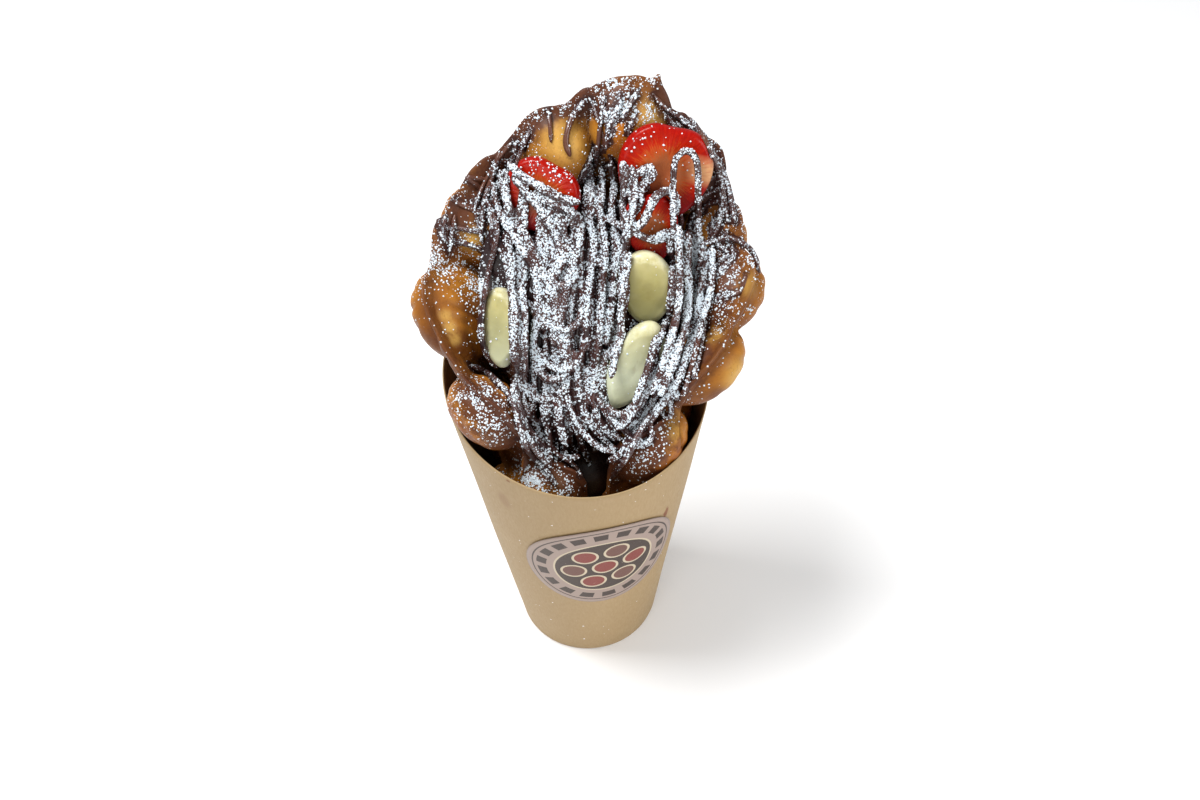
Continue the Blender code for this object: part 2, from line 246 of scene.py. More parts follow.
def turns(columns):
    """Angles of the columns of a ring, in the order that makes its faces point out."""
    return -2 * np.pi * np.arange(columns) / columns


def wrapped(angle, whole=2 * math.pi):
    """The same angle, from minus half a turn to plus half a turn."""
    return (angle + whole / 2) % whole - whole / 2


def rows(*columns):
    """Rows of numbers out of their columns. A plain number fills its whole column."""
    return np.stack(np.broadcast_arrays(*columns), -1)


def around(radius, angle, height):
    """Rows of x, y, z at these distances from the upright axis."""
    return rows(radius * np.sin(angle), radius * np.cos(angle), height)


def smooth_step(value):
    share = np.clip(value, 0.0, 1.0)
    return share * share * (3 - 2 * share)


def uneven(points, size, seed):
    """Smooth noise, from about -1 to 1, whose humps are as wide as the given size."""
    spot = np.asarray(points) / size + 17.3 * seed
    cell = np.floor(spot)
    inside = smooth_step(spot - cell)
    total = np.zeros(spot.shape[:-1])
    for corner in itertools.product((0, 1), repeat=3):
        hashed = np.sin((cell + corner) @ np.array([127.1, 311.7, 74.7])) * 43758.5453
        value = 2 * (hashed - np.floor(hashed)) - 1
        total += value * np.prod(np.where(corner, inside, 1 - inside), axis=-1)
    return total


def bumps(points, height, size, seed):
    """Smooth bumps of this height and this size, both in millimetres."""
    return height * MM * uneven(points, size * MM, seed)


def tube(path, radius, sides=8):
    """A round thread along a path, with rounded ends. The radius is one number or one for each point."""
    path = np.asarray(path, float)
    radius = np.broadcast_to(radius, len(path)) * np.ones(len(path))
    along = np.gradient(path, axis=0)
    along /= np.linalg.norm(along, axis=1, keepdims=True) + 1e-12
    across = np.cross(along[0], (0.3, -0.5, 0.8))
    angle = 2 * np.pi * np.arange(sides) / sides
    rings = []
    for point, forward, size in zip(path, along, radius):
        across = across - forward * (across @ forward)
        across /= np.linalg.norm(across)
        other = np.cross(forward, across)
        offset = np.cos(angle)[:, None] * across + np.sin(angle)[:, None] * other
        rings.append(point + offset * size)
    start = path[0] - along[0] * radius[0] * 0.8
    end = path[-1] + along[-1] * radius[-1] * 0.8
    return capped(rings, start, end)


# %% [markdown]
# ## Finishes that several materials share
# Powdered sugar lies on the sauce, the crust, the fruit and the cup, so it is one shader group: dots of a
# cell pattern, kept or left out by the cell's own random number, more of them where the surface faces the
# falling sugar. Fine grain is another: it gives the paper its fibres and the crust its pores. A third one
# makes patches and streaks, for stains, smears and the uneven browning.
#
# Two small classes keep the finishes short. Nodes adds nodes to any shader tree and links them. Finish is
# a material on top of that: it starts from one colour and lays others over it, each with its own mask.


# %% Nodes and finishes
def rgba(colour):
    return colour if isinstance(colour, bpy.types.NodeSocket) else (*colour, 1.0)


class Nodes:
    """Adds nodes to a shader tree. A value given to a socket is a plain one, or a socket to link from."""

    def __init__(self, tree):
        self.tree = tree

    def give(self, socket, value):
        if isinstance(value, bpy.types.NodeSocket):
            self.tree.links.new(value, socket)
        else:
            socket.default_value = value

    def add(self, kind, inputs=(), **settings):
        made = self.tree.nodes.new("ShaderNode" + kind)
        for name, value in settings.items():
            setattr(made, name, value)
        for name, value in dict(inputs).items():
            self.give(made.inputs[name], value)
        return made

    def maths(self, operation, *values):
        return self.add("Math", enumerate(values), operation=operation).outputs[0]

    def vector_maths(self, operation, *values):
        return self.add("VectorMath", enumerate(values), operation=operation).outputs["Value"]

    def times(self, first, *others):
        for other in others:
            first = self.maths("MULTIPLY", first, other)
        return first

    def between(self, value, low, high, from_value=0.0, to_value=1.0):
        """Stretches the range from low to high over the range between two values, and stops at its ends."""
        inputs = {"Value": value, "From Min": low, "From Max": high, "To Min": from_value, "To Max": to_value}
        return self.add("MapRange", inputs).outputs[0]

    def spread(self, noise, from_value, to_value):
        """Stretches a noise, which is mostly from 0.3 to 0.7, over the range between two values."""
        return self.between(noise, 0.3, 0.7, from_value, to_value)

    def mixed(self, share, first, second):
        """The first colour where share is 0, the second where it is 1."""
        return self.add("Mix", {0: share, 6: rgba(first), 7: rgba(second)}, data_type="RGBA").outputs[2]

    def ramp(self, value, stops):
        """Colours at places along a value."""
        made = self.add("ValToRGB", {"Fac": value})
        elements = made.color_ramp.elements
        while len(elements) < len(stops):
            elements.new(0.5)
        for element, (place, colour) in zip(elements, stops):
            element.position = place
            element.color = rgba(colour)
        return made.outputs["Color"]

    def use(self, group, **inputs):
        """Places a shader group, sets its inputs and gives its output."""
        return self.add("Group", inputs, node_tree=group).outputs[0]

    def place(self):
        return self.add("TexCoord").outputs["Object"]

    def along(self, axis):
        return self.add("SeparateXYZ", {"Vector": self.place()}).outputs[axis]

    def painted(self, name):
        """The three numbers that were painted on the piece under this name."""
        colour = self.add("Attribute", attribute_name=name).outputs["Color"]
        return self.add("SeparateColor", {"Color": colour}).outputs[:]


class Finish(Nodes):
    """A material whose colour is built up in layers. Constants are set on the shader's own sockets."""

    def __init__(self, name, **constants):
        self.material = bpy.data.materials.new(name)
        self.material.use_nodes = True
        super().__init__(self.material.node_tree)
        self.shader = self.tree.nodes["Principled BSDF"].inputs
        for socket, value in constants.items():
            self.shader[socket.replace("_", " ")].default_value = value

    def layer(self, share, colour, strength=1.0):
        """Lays a colour over the ones below, where share is 1."""
        if strength < 1.0:
            share = self.times(share, strength)
        self.colour = self.mixed(share, self.colour, colour)

    def done(self, roughness, relief, depth):
        """Links the colour, the roughness and a bump as deep as this to the shader."""
        self.give(self.shader["Base Color"], self.colour)
        self.give(self.shader["Roughness"], roughness)
        bump = self.add("Bump", {"Height": relief, "Distance": depth, "Strength": 1.0})
        self.give(self.shader["Normal"], bump.outputs["Normal"])
        return self.material


def shader_group(name, output, **inputs):
    """An empty group with a named output and named inputs: its nodes, its inputs and its output."""
    tree = bpy.data.node_groups.new(name, "ShaderNodeTree")
    for socket_name, value in inputs.items():
        kind = "NodeSocketFloat" if isinstance(value, float) else "NodeSocketVector"
        tree.interface.new_socket(socket_name, in_out="INPUT", socket_type=kind).default_value = value
    tree.interface.new_socket(output, in_out="OUTPUT", socket_type="NodeSocketFloat")
    return Nodes(tree), tree.nodes.new("NodeGroupInput").outputs, tree.nodes.new("NodeGroupOutput").inputs[0]

# %% Powdered sugar group
SUGAR_WHITE = (0.86, 0.88, 0.92)
WET_SUGAR = (0.55, 0.63, 0.70)
FINER = 1.9


def sugar_dots(nodes, cells, amount):
    """Dots of about half a cell, kept where the cell's own random number is under the amount."""
    dots = nodes.add("TexVoronoi", {"Vector": nodes.place(), "Scale": cells}).outputs
    draw = nodes.add("SeparateColor", {"Color": dots["Color"]}).outputs
    inside = nodes.maths("LESS_THAN", dots["Distance"], nodes.between(draw["Green"], 0.0, 1.0, 0.30, 0.62))
    return nodes.times(inside, nodes.maths("LESS_THAN", draw["Red"], amount))


def powdered_sugar_group():
    nodes, given, mask = shader_group("powdered sugar", "Mask", Amount=0.3, Cells=1250.0)
    normal = nodes.add("NewGeometry").outputs["Normal"]
    facing = nodes.vector_maths("DOT_PRODUCT", normal, (-0.1, -0.55, 0.83))
    patches = nodes.add("TexNoise", {"Vector": nodes.place(), "Scale": 150.0, "Detail": 3.0}).outputs["Fac"]
    amount = nodes.times(given["Amount"], nodes.between(facing, -0.1, 0.65))
    amount = nodes.times(amount, nodes.between(patches, 0.34, 0.66, 0.45, 1.35))
    coarse = sugar_dots(nodes, given["Cells"], amount)
    fine = sugar_dots(nodes, nodes.times(given["Cells"], FINER), nodes.times(amount, 0.8))
    nodes.give(mask, nodes.maths("MAXIMUM", coarse, fine))
    return nodes.tree


sugar_group = powdered_sugar_group()
print("group:", sugar_group.name)


def dusted(look, amount, cells, roughness, relief, white=SUGAR_WHITE, rough=0.85, raised=1.6):
    """Dots of sugar over a finish: the roughness and the relief with the dots on them."""
    dots = look.use(sugar_group, Amount=amount, Cells=cells)
    look.layer(dots, white)
    roughness = look.maths("MAXIMUM", roughness, look.times(dots, rough))
    return roughness, look.maths("ADD", relief, look.times(dots, raised))

# %% Grain and patches groups
def stretched_noise(nodes, given, **own):
    """Noise over the place on the object, stretched along its axes."""
    place = nodes.add("Mapping", {"Vector": nodes.place(), "Scale": given["Stretch"]}).outputs["Vector"]
    inputs = {"Vector": place, "Scale": given["Scale"], "Detail": 4.0, **own}
    return nodes.add("TexNoise", inputs).outputs["Fac"]


def fine_grain_group():
    nodes, given, value = shader_group("fine grain", "Value", Scale=900.0, Stretch=(1.0, 1.0, 1.0))
    nodes.give(value, stretched_noise(nodes, given, Roughness=0.6))
    return nodes.tree


def patches_group():
    nodes, given, mask = shader_group(
        "patches and streaks", "Mask", Scale=60.0, Stretch=(1.0, 1.0, 1.0), Cover=0.5, Softness=0.1
    )
    noise = stretched_noise(nodes, given, Distortion=0.6)
    level = nodes.between(given["Cover"], 0.0, 1.0, 0.75, 0.25)
    nodes.give(mask, nodes.between(noise, level, nodes.maths("ADD", level, given["Softness"])))
    return nodes.tree


grain_group = fine_grain_group()
patch_group = patches_group()
print("groups:", grain_group.name, "and", patch_group.name)

# %% [markdown]
# ## Paper cup
# The cup is a sheet of cream board rolled into a tall cone and glued along one lapped seam. Its rim is cut
# at a slant, high at the back, so that the food leans on it. A ring of points at each height follows the
# same cone as the solid, and the wall is a true sheet, open at the top. The seam runs up the back. The
# finish needs fibres that run round the cup, a faint blotchiness and a few specks of sugar.

# %% Cup shape
CUP_HEIGHT = 150 * MM
CUP_FOOT_RADIUS = 30 * MM
CUP_RIM_RADIUS = 50 * MM
PAPER = 0.6 * MM
BASE_THICK = 1.2 * MM
RIM_RISE_BACK = 10.5 * MM
RIM_RISE_LEFT = 4.5 * MM
RIM_ROUND = 0.1 * MM
SEAM_ANGLE = math.radians(24)
SEAM_HALF = 5 * MM
SEAM_LAP = 0.45 * MM
SEAM_STEP = 0.5 * MM
# Height and inset of each ring that rounds the foot
FOOT_ROUND = [(0.0, 0.6 * MM), (0.3 * MM, 0.2 * MM), (0.9 * MM, 0.0)]
CUP_COLUMNS = 320
OUTSIDE_LEVELS = np.linspace(0.02, 0.998, 48)
INSIDE_LEVELS = np.linspace(0.998, 0.05, 30)


def cup_radius(height):
    """Outer radius of the cup's wall."""
    return CUP_FOOT_RADIUS + (CUP_RIM_RADIUS - CUP_FOOT_RADIUS) * height / CUP_HEIGHT


def rim_height(angle):
    return CUP_HEIGHT + RIM_RISE_BACK * np.cos(angle) - RIM_RISE_LEFT * np.sin(angle)


def cup_lift(angle, height):
    """How far the board stands off the true cone: the lap of the seam, and a slight unevenness."""
    from_seam = wrapped(angle - SEAM_ANGLE) * cup_radius(height)
    lap = SEAM_LAP * smooth_step((from_seam + SEAM_HALF) / SEAM_STEP) * (np.abs(from_seam) < SEAM_HALF)
    return lap + bumps(around(cup_radius(height), angle, height), 0.25, 34, 3)


def cup_shape():
    angle = turns(CUP_COLUMNS)
    rim = rim_height(angle)

    def wall(height, inset, above=0.0):
        return around(cup_radius(height) + cup_lift(angle, height) - inset, angle, height + above)

    rings = [around(cup_radius(0) - inset, angle, level) for level, inset in FOOT_ROUND]
    rings += [wall(rim * share, 0.0) for share in OUTSIDE_LEVELS]
    rings.append(wall(rim, PAPER / 2, RIM_ROUND))
    rings += [wall(rim * share, PAPER) for share in INSIDE_LEVELS]
    rings.append(around(cup_radius(BASE_THICK) - PAPER, angle, BASE_THICK))
    return capped(rings, (0, 0, 0), (0, 0, BASE_THICK))

# %% Cup finish
cup_body = cup_shape()
cup_tree = tree_of(cup_body)
# Marks of sauce on the board: a pixel, half its width and height in millimetres, and its strength
CUP_STAINS = [((666, 512), (1.5, 4.0), 0.95), ((508, 481), (0.8, 0.9), 0.8), ((504, 500), (3.0, 6.0), 0.25)]


def paper_finish():
    look = Finish("cream paper board", Specular_IOR_Level=0.35)
    fibres = look.use(grain_group, Scale=1400.0, Stretch=(1.0, 1.0, 0.25))
    blotches = look.use(patch_group, Scale=22.0, Cover=0.55, Softness=0.35)
    stains = look.use(patch_group, Scale=48.0, Stretch=(1.0, 1.0, 0.6), Cover=0.12, Softness=0.12)
    look.colour = look.mixed(blotches, (0.365, 0.252, 0.124), (0.408, 0.288, 0.150))
    look.layer(look.between(fibres, 0.35, 0.7, 0.0, 0.30), (0.30, 0.200, 0.094))
    look.layer(stains, (0.30, 0.19, 0.09), 0.35)
    for pixel, (half_wide, half_high), strength in CUP_STAINS:
        size = (half_wide * MM, half_wide * MM, half_high * MM)
        inputs = {"Vector": look.place(), "Location": seen_places(cup_tree, [pixel])[0], "Scale": size}
        off = look.add("Mapping", inputs, vector_type="TEXTURE").outputs["Vector"]
        ragged = look.maths("ADD", look.vector_maths("LENGTH", off), look.spread(fibres, -0.4, 0.4))
        look.layer(look.between(ragged, 1.1, 0.7, 0.0, strength), (0.20, 0.068, 0.022))
    look.layer(look.use(sugar_group, Amount=0.002, Cells=1300.0), SUGAR_WHITE)
    return look.done(look.spread(fibres, 0.50, 0.66), fibres, 0.10 * MM)


cup = piece("cup_board", cup_body, paper_finish(), ["paper_cup"])

# %% [markdown]
# ## Label
# A round paper sticker follows the cup's wall. Its print is generic: a honeycomb of seven dots, like the
# bubbles of the waffle seen from above, inside a dashed ring. The disc is a polar grid bent round the cone.
# Each point keeps its own place on the flat sticker, so the print can be drawn with simple distances.

# %% Label shape
LABEL_RADIUS = 32 * MM
LABEL_HEIGHT = 82.5 * MM
LABEL_TURN = math.radians(11)
LABEL_GAP = 0.35 * MM
LABEL_THICK = 0.25 * MM
LABEL_TILT = math.radians(9)
LABEL_COLUMNS = 160
LABEL_RINGS = 24
INNERMOST = 0.04


def label_shape():
    """The sticker's points and faces, and the place of each point on the flat sticker."""
    slope = math.atan2(CUP_RIM_RADIUS - CUP_FOOT_RADIUS, CUP_HEIGHT)
    turn = -turns(LABEL_COLUMNS)
    flat = []

    def ring(share, lift):
        across, up = LABEL_RADIUS * share * np.cos(turn), LABEL_RADIUS * share * np.sin(turn)
        height = LABEL_HEIGHT + up * math.cos(slope)
        angle = math.pi - LABEL_TURN - across / cup_radius(height)
        own = turn - LABEL_TILT
        flat.append(rows(share * np.cos(own), share * np.sin(own), 0.0))
        return around(cup_radius(height) + cup_lift(angle, height) + lift, angle, height)

    rings = [ring(share, LABEL_GAP) for share in np.linspace(INNERMOST, 0.995, LABEL_RINGS)]
    rings += [ring(share, LABEL_GAP + LABEL_THICK) for share in np.linspace(1.0, INNERMOST, LABEL_RINGS)]
    tips = rings[0].mean(axis=0), rings[-1].mean(axis=0)
    return capped(rings, *tips), np.concatenate([*flat, np.zeros((2, 3))])


# %% Label finish
LABEL_BROWN = (0.040, 0.022, 0.015)
LABEL_CREAM = (0.54, 0.45, 0.32)
DOT_RADIUS = 0.135
DOT_EDGE = 0.03
DOT_RING = 0.39
DOT_COLOURS = [(0.20, 0.030, 0.020), (0.13, 0.05, 0.035)]
# Rings of the print from the outside in: where each starts and ends, and its colour
PRINTED_RINGS = [(0.905, 0.925, LABEL_BROWN), (0.0, 0.64, LABEL_CREAM), (0.0, 0.615, LABEL_BROWN)]


def label_finish():
    look = Finish("printed label paper", Specular_IOR_Level=0.3)
    place = look.add("Attribute", attribute_name="flat").outputs["Vector"]
    off_centre = look.vector_maths("LENGTH", place)
    axes = look.add("SeparateXYZ", {"Vector": place}).outputs
    turn = look.maths("ARCTAN2", axes["Y"], axes["X"])
    dash = look.maths("GREATER_THAN", look.maths("SINE", look.times(turn, 18.0)), -0.35)
    fibres = look.use(grain_group, Scale=2200.0)

    def band(low, high):
        """A ring of the print, from low to high off the middle."""
        outside = look.maths("GREATER_THAN", off_centre, low)
        return look.times(outside, look.maths("LESS_THAN", off_centre, high))

    look.colour = look.mixed(fibres, (0.30, 0.222, 0.185), (0.36, 0.272, 0.230))
    look.layer(look.times(band(0.73, 0.86), dash), LABEL_BROWN)
    for low, high, colour in PRINTED_RINGS:
        look.layer(band(low, high), colour)
    for number in range(7):
        reach = DOT_RING if number else 0.0
        spot = (reach * math.cos(number * math.pi / 3), reach * math.sin(number * math.pi / 3), 0.0)
        gap = look.vector_maths("DISTANCE", place, spot)
        look.layer(look.maths("LESS_THAN", gap, DOT_RADIUS + DOT_EDGE), LABEL_CREAM)
        look.layer(look.maths("LESS_THAN", gap, DOT_RADIUS), DOT_COLOURS[number % 2])
    rubbed = look.use(patch_group, Scale=500.0, Cover=0.16, Softness=0.1)
    look.layer(rubbed, (0.40, 0.31, 0.27), 0.35)
    return look.done(look.spread(fibres, 0.36, 0.5), fibres, 0.03 * MM)


label_body, label_flat = label_shape()
label = piece("round_label", label_body, label_finish(), ["cup_label"])
paint(label, "flat", label_flat)

# %% [markdown]
# ## The sheet of waffle
# Each bubble is a ball of soft batter, flat halves joined at a thin crisp web. The sheet could be sculpted,
# but its rule is simple: a leaning cone gives the middle of the sheet, and every point is pushed out on
# both faces by the nearest bubble. The same rule as the solid's is used here on a much finer grid, with
# what a solid of few faces can't hold: creased bubbles, a wrinkled web and a thin ragged edge.

# %% Sheet sizes
CUP_GAP = 0.4 * MM
WEB_HALF = 1.7 * MM
BUBBLE_RISE = 11.6 * MM
BUBBLE_RADIUS = 14.6 * MM
BUBBLE_STRETCH = 1.1
BUBBLE_ROUNDNESS = 0.58
FLANGE = 2.5 * MM
CONE_BOTTOM = 34 * MM
CONE_FLOOR = 8 * MM
STRAIGHT_TOP = 170 * MM
WIDENING = 0.13
FLARE_BELOW_RIM = 3 * MM
LEFT_FLARE = 0.37
RIGHT_FLARE = 0.31
BACK_FLARE = 0.06
FRONT_SHARE = 0.3
LEAN_START = 146 * MM
LEAN_SLOPE = 0.085
PRESSED_BELOW = 112 * MM
FREE_ABOVE = 126 * MM

# Height of the edge in millimetres at each angle in degrees
EDGE = {
    -180: 104, -155: 137, -122: 170, -100: 186, -78: 197, -62: 208, -39: 221, -20: 233, 0: 240,
    18: 244, 34: 235, 48: 222, 63: 210, 80: 198, 103: 182, 131: 152, 158: 120, 180: 104,
}

# The bubbles that show: angle, height, size, then the depth and the tilt of a crease over the bubble
SHOWN_BUBBLES = [
    (15, 230, 0.92, 0.0, 0),
    (-13, 219, 0.95, 0.0, 0),
    (41, 212, 0.86, 0.0, 0),
    (-46, 196, 0.97, 0.9, 20),
    (60, 192, 0.86, 0.0, 0),
    (-78, 176, 1.15, 1.5, 14),
    (80, 182, 0.98, 0.9, -30),
    (-122, 156, 1.02, 0.8, -10),
    (104, 166, 1.04, 0.5, -38),
    (-155, 124, 0.95, 0.6, 10),
    (131, 136, 1.06, 0.7, -20),
]
CREASES = [(-9.0 * MM, 0.7), (-4.5 * MM, 1.0), (1.5 * MM, 0.5), (7.0 * MM, 0.9)]
CREASE_WIDTH = 1.2 * MM
# A crisp pointed tip and a gentle rise of the edge: angle in degrees, rise in millimetres, half the width
# in degrees
EDGE_RISES = [(24.0, 3.0, 1.2), (-1.0, 3.0, 6.0)]
EDGE_BAND = 4.5 * MM
EDGE_THIN = 0.35
RAGGED = 0.6 * MM
RAGGED_RADIUS = 60 * MM
ROW_TOP = 204 * MM
ROW_BOTTOM = 62 * MM
ROW_STEP = 27 * MM
BUBBLE_PITCH = 31 * MM
CLOSEST_BUBBLE = 25 * MM
ROOM_TO_EDGE = 11.7 * MM
SHEET_COLUMNS = 400
SHEET_ROWS = 172


# %% Sheet shape
def wall_radius(angle, height):
    """Radius of the waffle's middle surface about its own leaning axis."""
    straight = cup_radius(np.minimum(height, STRAIGHT_TOP))
    tapered = straight - PAPER - CUP_GAP - BUBBLE_RISE - WEB_HALF
    widened = WIDENING * np.maximum(height - STRAIGHT_TOP, 0)
    risen = np.maximum(height - rim_height(angle) + FLARE_BELOW_RIM, 0)
    to_side = np.sin(angle) ** 2
    to_front = np.clip(-np.cos(angle), 0, 1)
    flare = np.where(np.sin(angle) > 0, RIGHT_FLARE, LEFT_FLARE) * (1 - FRONT_SHARE * to_front)
    return tapered + widened + risen * (flare * to_side + BACK_FLARE * (1 - to_side))


def wall_point(angle, height):
    """Points of the waffle's middle surface, as rows of x, y, z."""
    points = around(wall_radius(angle, height), angle, height)
    points[..., 0] += LEAN_SLOPE * np.maximum(height - LEAN_START, 0)
    return points


def edge_height(angle):
    """Height of the waffle's edge, smooth between the named heights."""
    degrees = wrapped(np.degrees(angle), 360)
    at, heights = np.array(list(EDGE)), np.array(list(EDGE.values())) * MM
    place = np.clip(np.searchsorted(at, degrees, side="right") - 1, 0, len(at) - 2)
    share = (degrees - at[place]) / (at[place + 1] - at[place])
    return heights[place] + (heights[place + 1] - heights[place]) * smooth_step(share)


def all_bubbles():
    """The named bubbles, then rows of more wherever the sheet has room for one."""
    placed = [
        (math.radians(turn), height * MM, size, crease * MM, math.radians(tilt))
        for turn, height, size, crease, tilt in SHOWN_BUBBLES
    ]
    for row in range(int((ROW_TOP - ROW_BOTTOM) / ROW_STEP) + 1):
        height = ROW_TOP - row * ROW_STEP
        girth = 2 * math.pi * float(wall_radius(math.pi / 4, height))
        count = max(5, round(girth / BUBBLE_PITCH))
        for step in range(count):
            angle = wrapped(2 * math.pi * (step + 0.5 * (row % 2)) / count)
            here = wall_point(angle, height)
            nearest = min(np.linalg.norm(here - wall_point(*spot[:2])) for spot in placed)
            if nearest > CLOSEST_BUBBLE and edge_height(angle) - height > ROOM_TO_EDGE:
                placed.append((angle, height, 0.95 + 0.05 * math.sin(7 * angle + 3 * row), 0.0, 0.0))
    return placed


def bubble_height(points, bubbles):
    """How far the bubbles raise each face of the sheet, and the depth of their creases."""
    raised = np.zeros(points.shape[:-1])
    creased = np.zeros(points.shape[:-1])
    for angle, height, size, crease, tilt in bubbles:
        off = points - wall_point(angle, height)
        sideways = np.array([math.cos(angle), -math.sin(angle), 0]) * math.cos(tilt)
        from_crease = off @ (sideways + np.array([0, 0, math.sin(tilt)]))
        off[..., 2] /= BUBBLE_STRETCH
        apart = np.linalg.norm(off, axis=-1) / (BUBBLE_RADIUS * size)
        dome = np.clip(1 - apart**2, 0, 1) ** BUBBLE_ROUNDNESS
        raised = np.maximum(raised, BUBBLE_RISE * min(size, 1.0) * dome)
        for place, share in CREASES:
            creased += crease * share * np.exp(-(((from_crease - place) / CREASE_WIDTH) ** 2)) * dome
    return raised, creased


def scalloped_edge(angle, bubbles):
    """The edge, raised where it runs round one of the named bubbles, and a little ragged."""
    edge = edge_height(angle)
    for turn, height, size, _, _ in bubbles[: len(SHOWN_BUBBLES)]:
        radius = BUBBLE_RADIUS * size + FLANGE
        across = wrapped(angle - turn) * wall_radius(angle, height)
        round_top = height + BUBBLE_STRETCH * np.sqrt(np.clip(radius**2 - across**2, 0, None))
        edge = np.where(np.abs(across) < radius, np.maximum(edge, round_top), edge)
    for middle, rise, half_width in EDGE_RISES:
        off = wrapped(np.degrees(angle) - middle, 360)
        edge = edge + rise * MM * np.exp(-((off / half_width) ** 2))
    ring = around(RAGGED_RADIUS, angle, 0)
    ragged = uneven(ring, 4.5 * MM, 5) + 0.5 * uneven(ring, 2 * MM, 6)
    return edge - RAGGED * np.clip(ragged + 0.7, 0, None)


def free_inside(height):
    """0 deep in the cup, where the inner face is pressed flat, and 1 where the bubbles stand free."""
    return smooth_step((height - PRESSED_BELOW) / (FREE_ABOVE - PRESSED_BELOW))


def sheet_shape():
    """The sheet's points and faces, and for each point: bubble share, nearness to the edge, inner side."""
    bubbles = all_bubbles()
    angles = turns(SHEET_COLUMNS)
    low = CONE_BOTTOM + CONE_FLOOR
    share = np.linspace(0, 1, SHEET_ROWS)[:, None] ** 0.78
    height = low + (scalloped_edge(angles, bubbles) - low) * share
    angle = np.broadcast_to(angles, height.shape)
    middle = wall_point(angle, height)
    outward = around(1, angle, 0)
    raised, creased = bubble_height(middle, bubbles)
    bubble_share = raised / BUBBLE_RISE
    to_edge = (height[-1] - height) / EDGE_BAND
    thin = WEB_HALF * (EDGE_THIN + (1 - EDGE_THIN) * smooth_step(to_edge))
    thin = thin * np.where(share < 1, 1.0, EDGE_THIN)
    bubble = np.maximum(raised - creased, 0)
    web = 1 - smooth_step(1.6 * bubble_share)
    skin = bumps(middle, 0.30, 9, 1) * (1 - web)
    wrinkle = web * (bumps(middle, 0.42, 3.4, 2) + bumps(middle, 0.2, 1.7, 4))
    relief = (skin + wrinkle + bumps(middle, 0.10, 2.3, 7)) * smooth_step(to_edge + 0.15)
    outer = middle + outward * (thin + bubble + relief)[..., None]
    inner = middle - outward * (thin + (bubble + relief) * free_inside(height))[..., None]
    drop = np.array([0, 0, CONE_FLOOR])
    under = [middle[0] * (0.5, 0.5, 1) - 0.9 * drop, middle[0] * (0.85, 0.85, 1) - 0.5 * drop]
    rings = [*under, *outer, *inner[::-1], inner[0] * (0.5, 0.5, 1) - 0.05 * drop]
    edge_and_creases = np.exp(-np.clip(to_edge, 0, None) * 0.9) * (1 - 0.6 * bubble_share)
    # The creases get the edge's mark too, so the crust is darker in them: painted shade in the folds
    edge_and_creases += np.clip(creased / (1.6 * MM), 0, 0.9)
    plain = np.zeros((SHEET_COLUMNS, 3))
    outer_marks, inner_marks = (rows(bubble_share, edge_and_creases, side) for side in (0.0, 1.0))
    marks = [plain, plain, *outer_marks, *inner_marks[::-1], plain, np.zeros((2, 3))]
    tips = (0, 0, CONE_BOTTOM), (0, 0, low - 0.1 * CONE_FLOOR)
    return capped(rings, *tips), np.concatenate(marks)
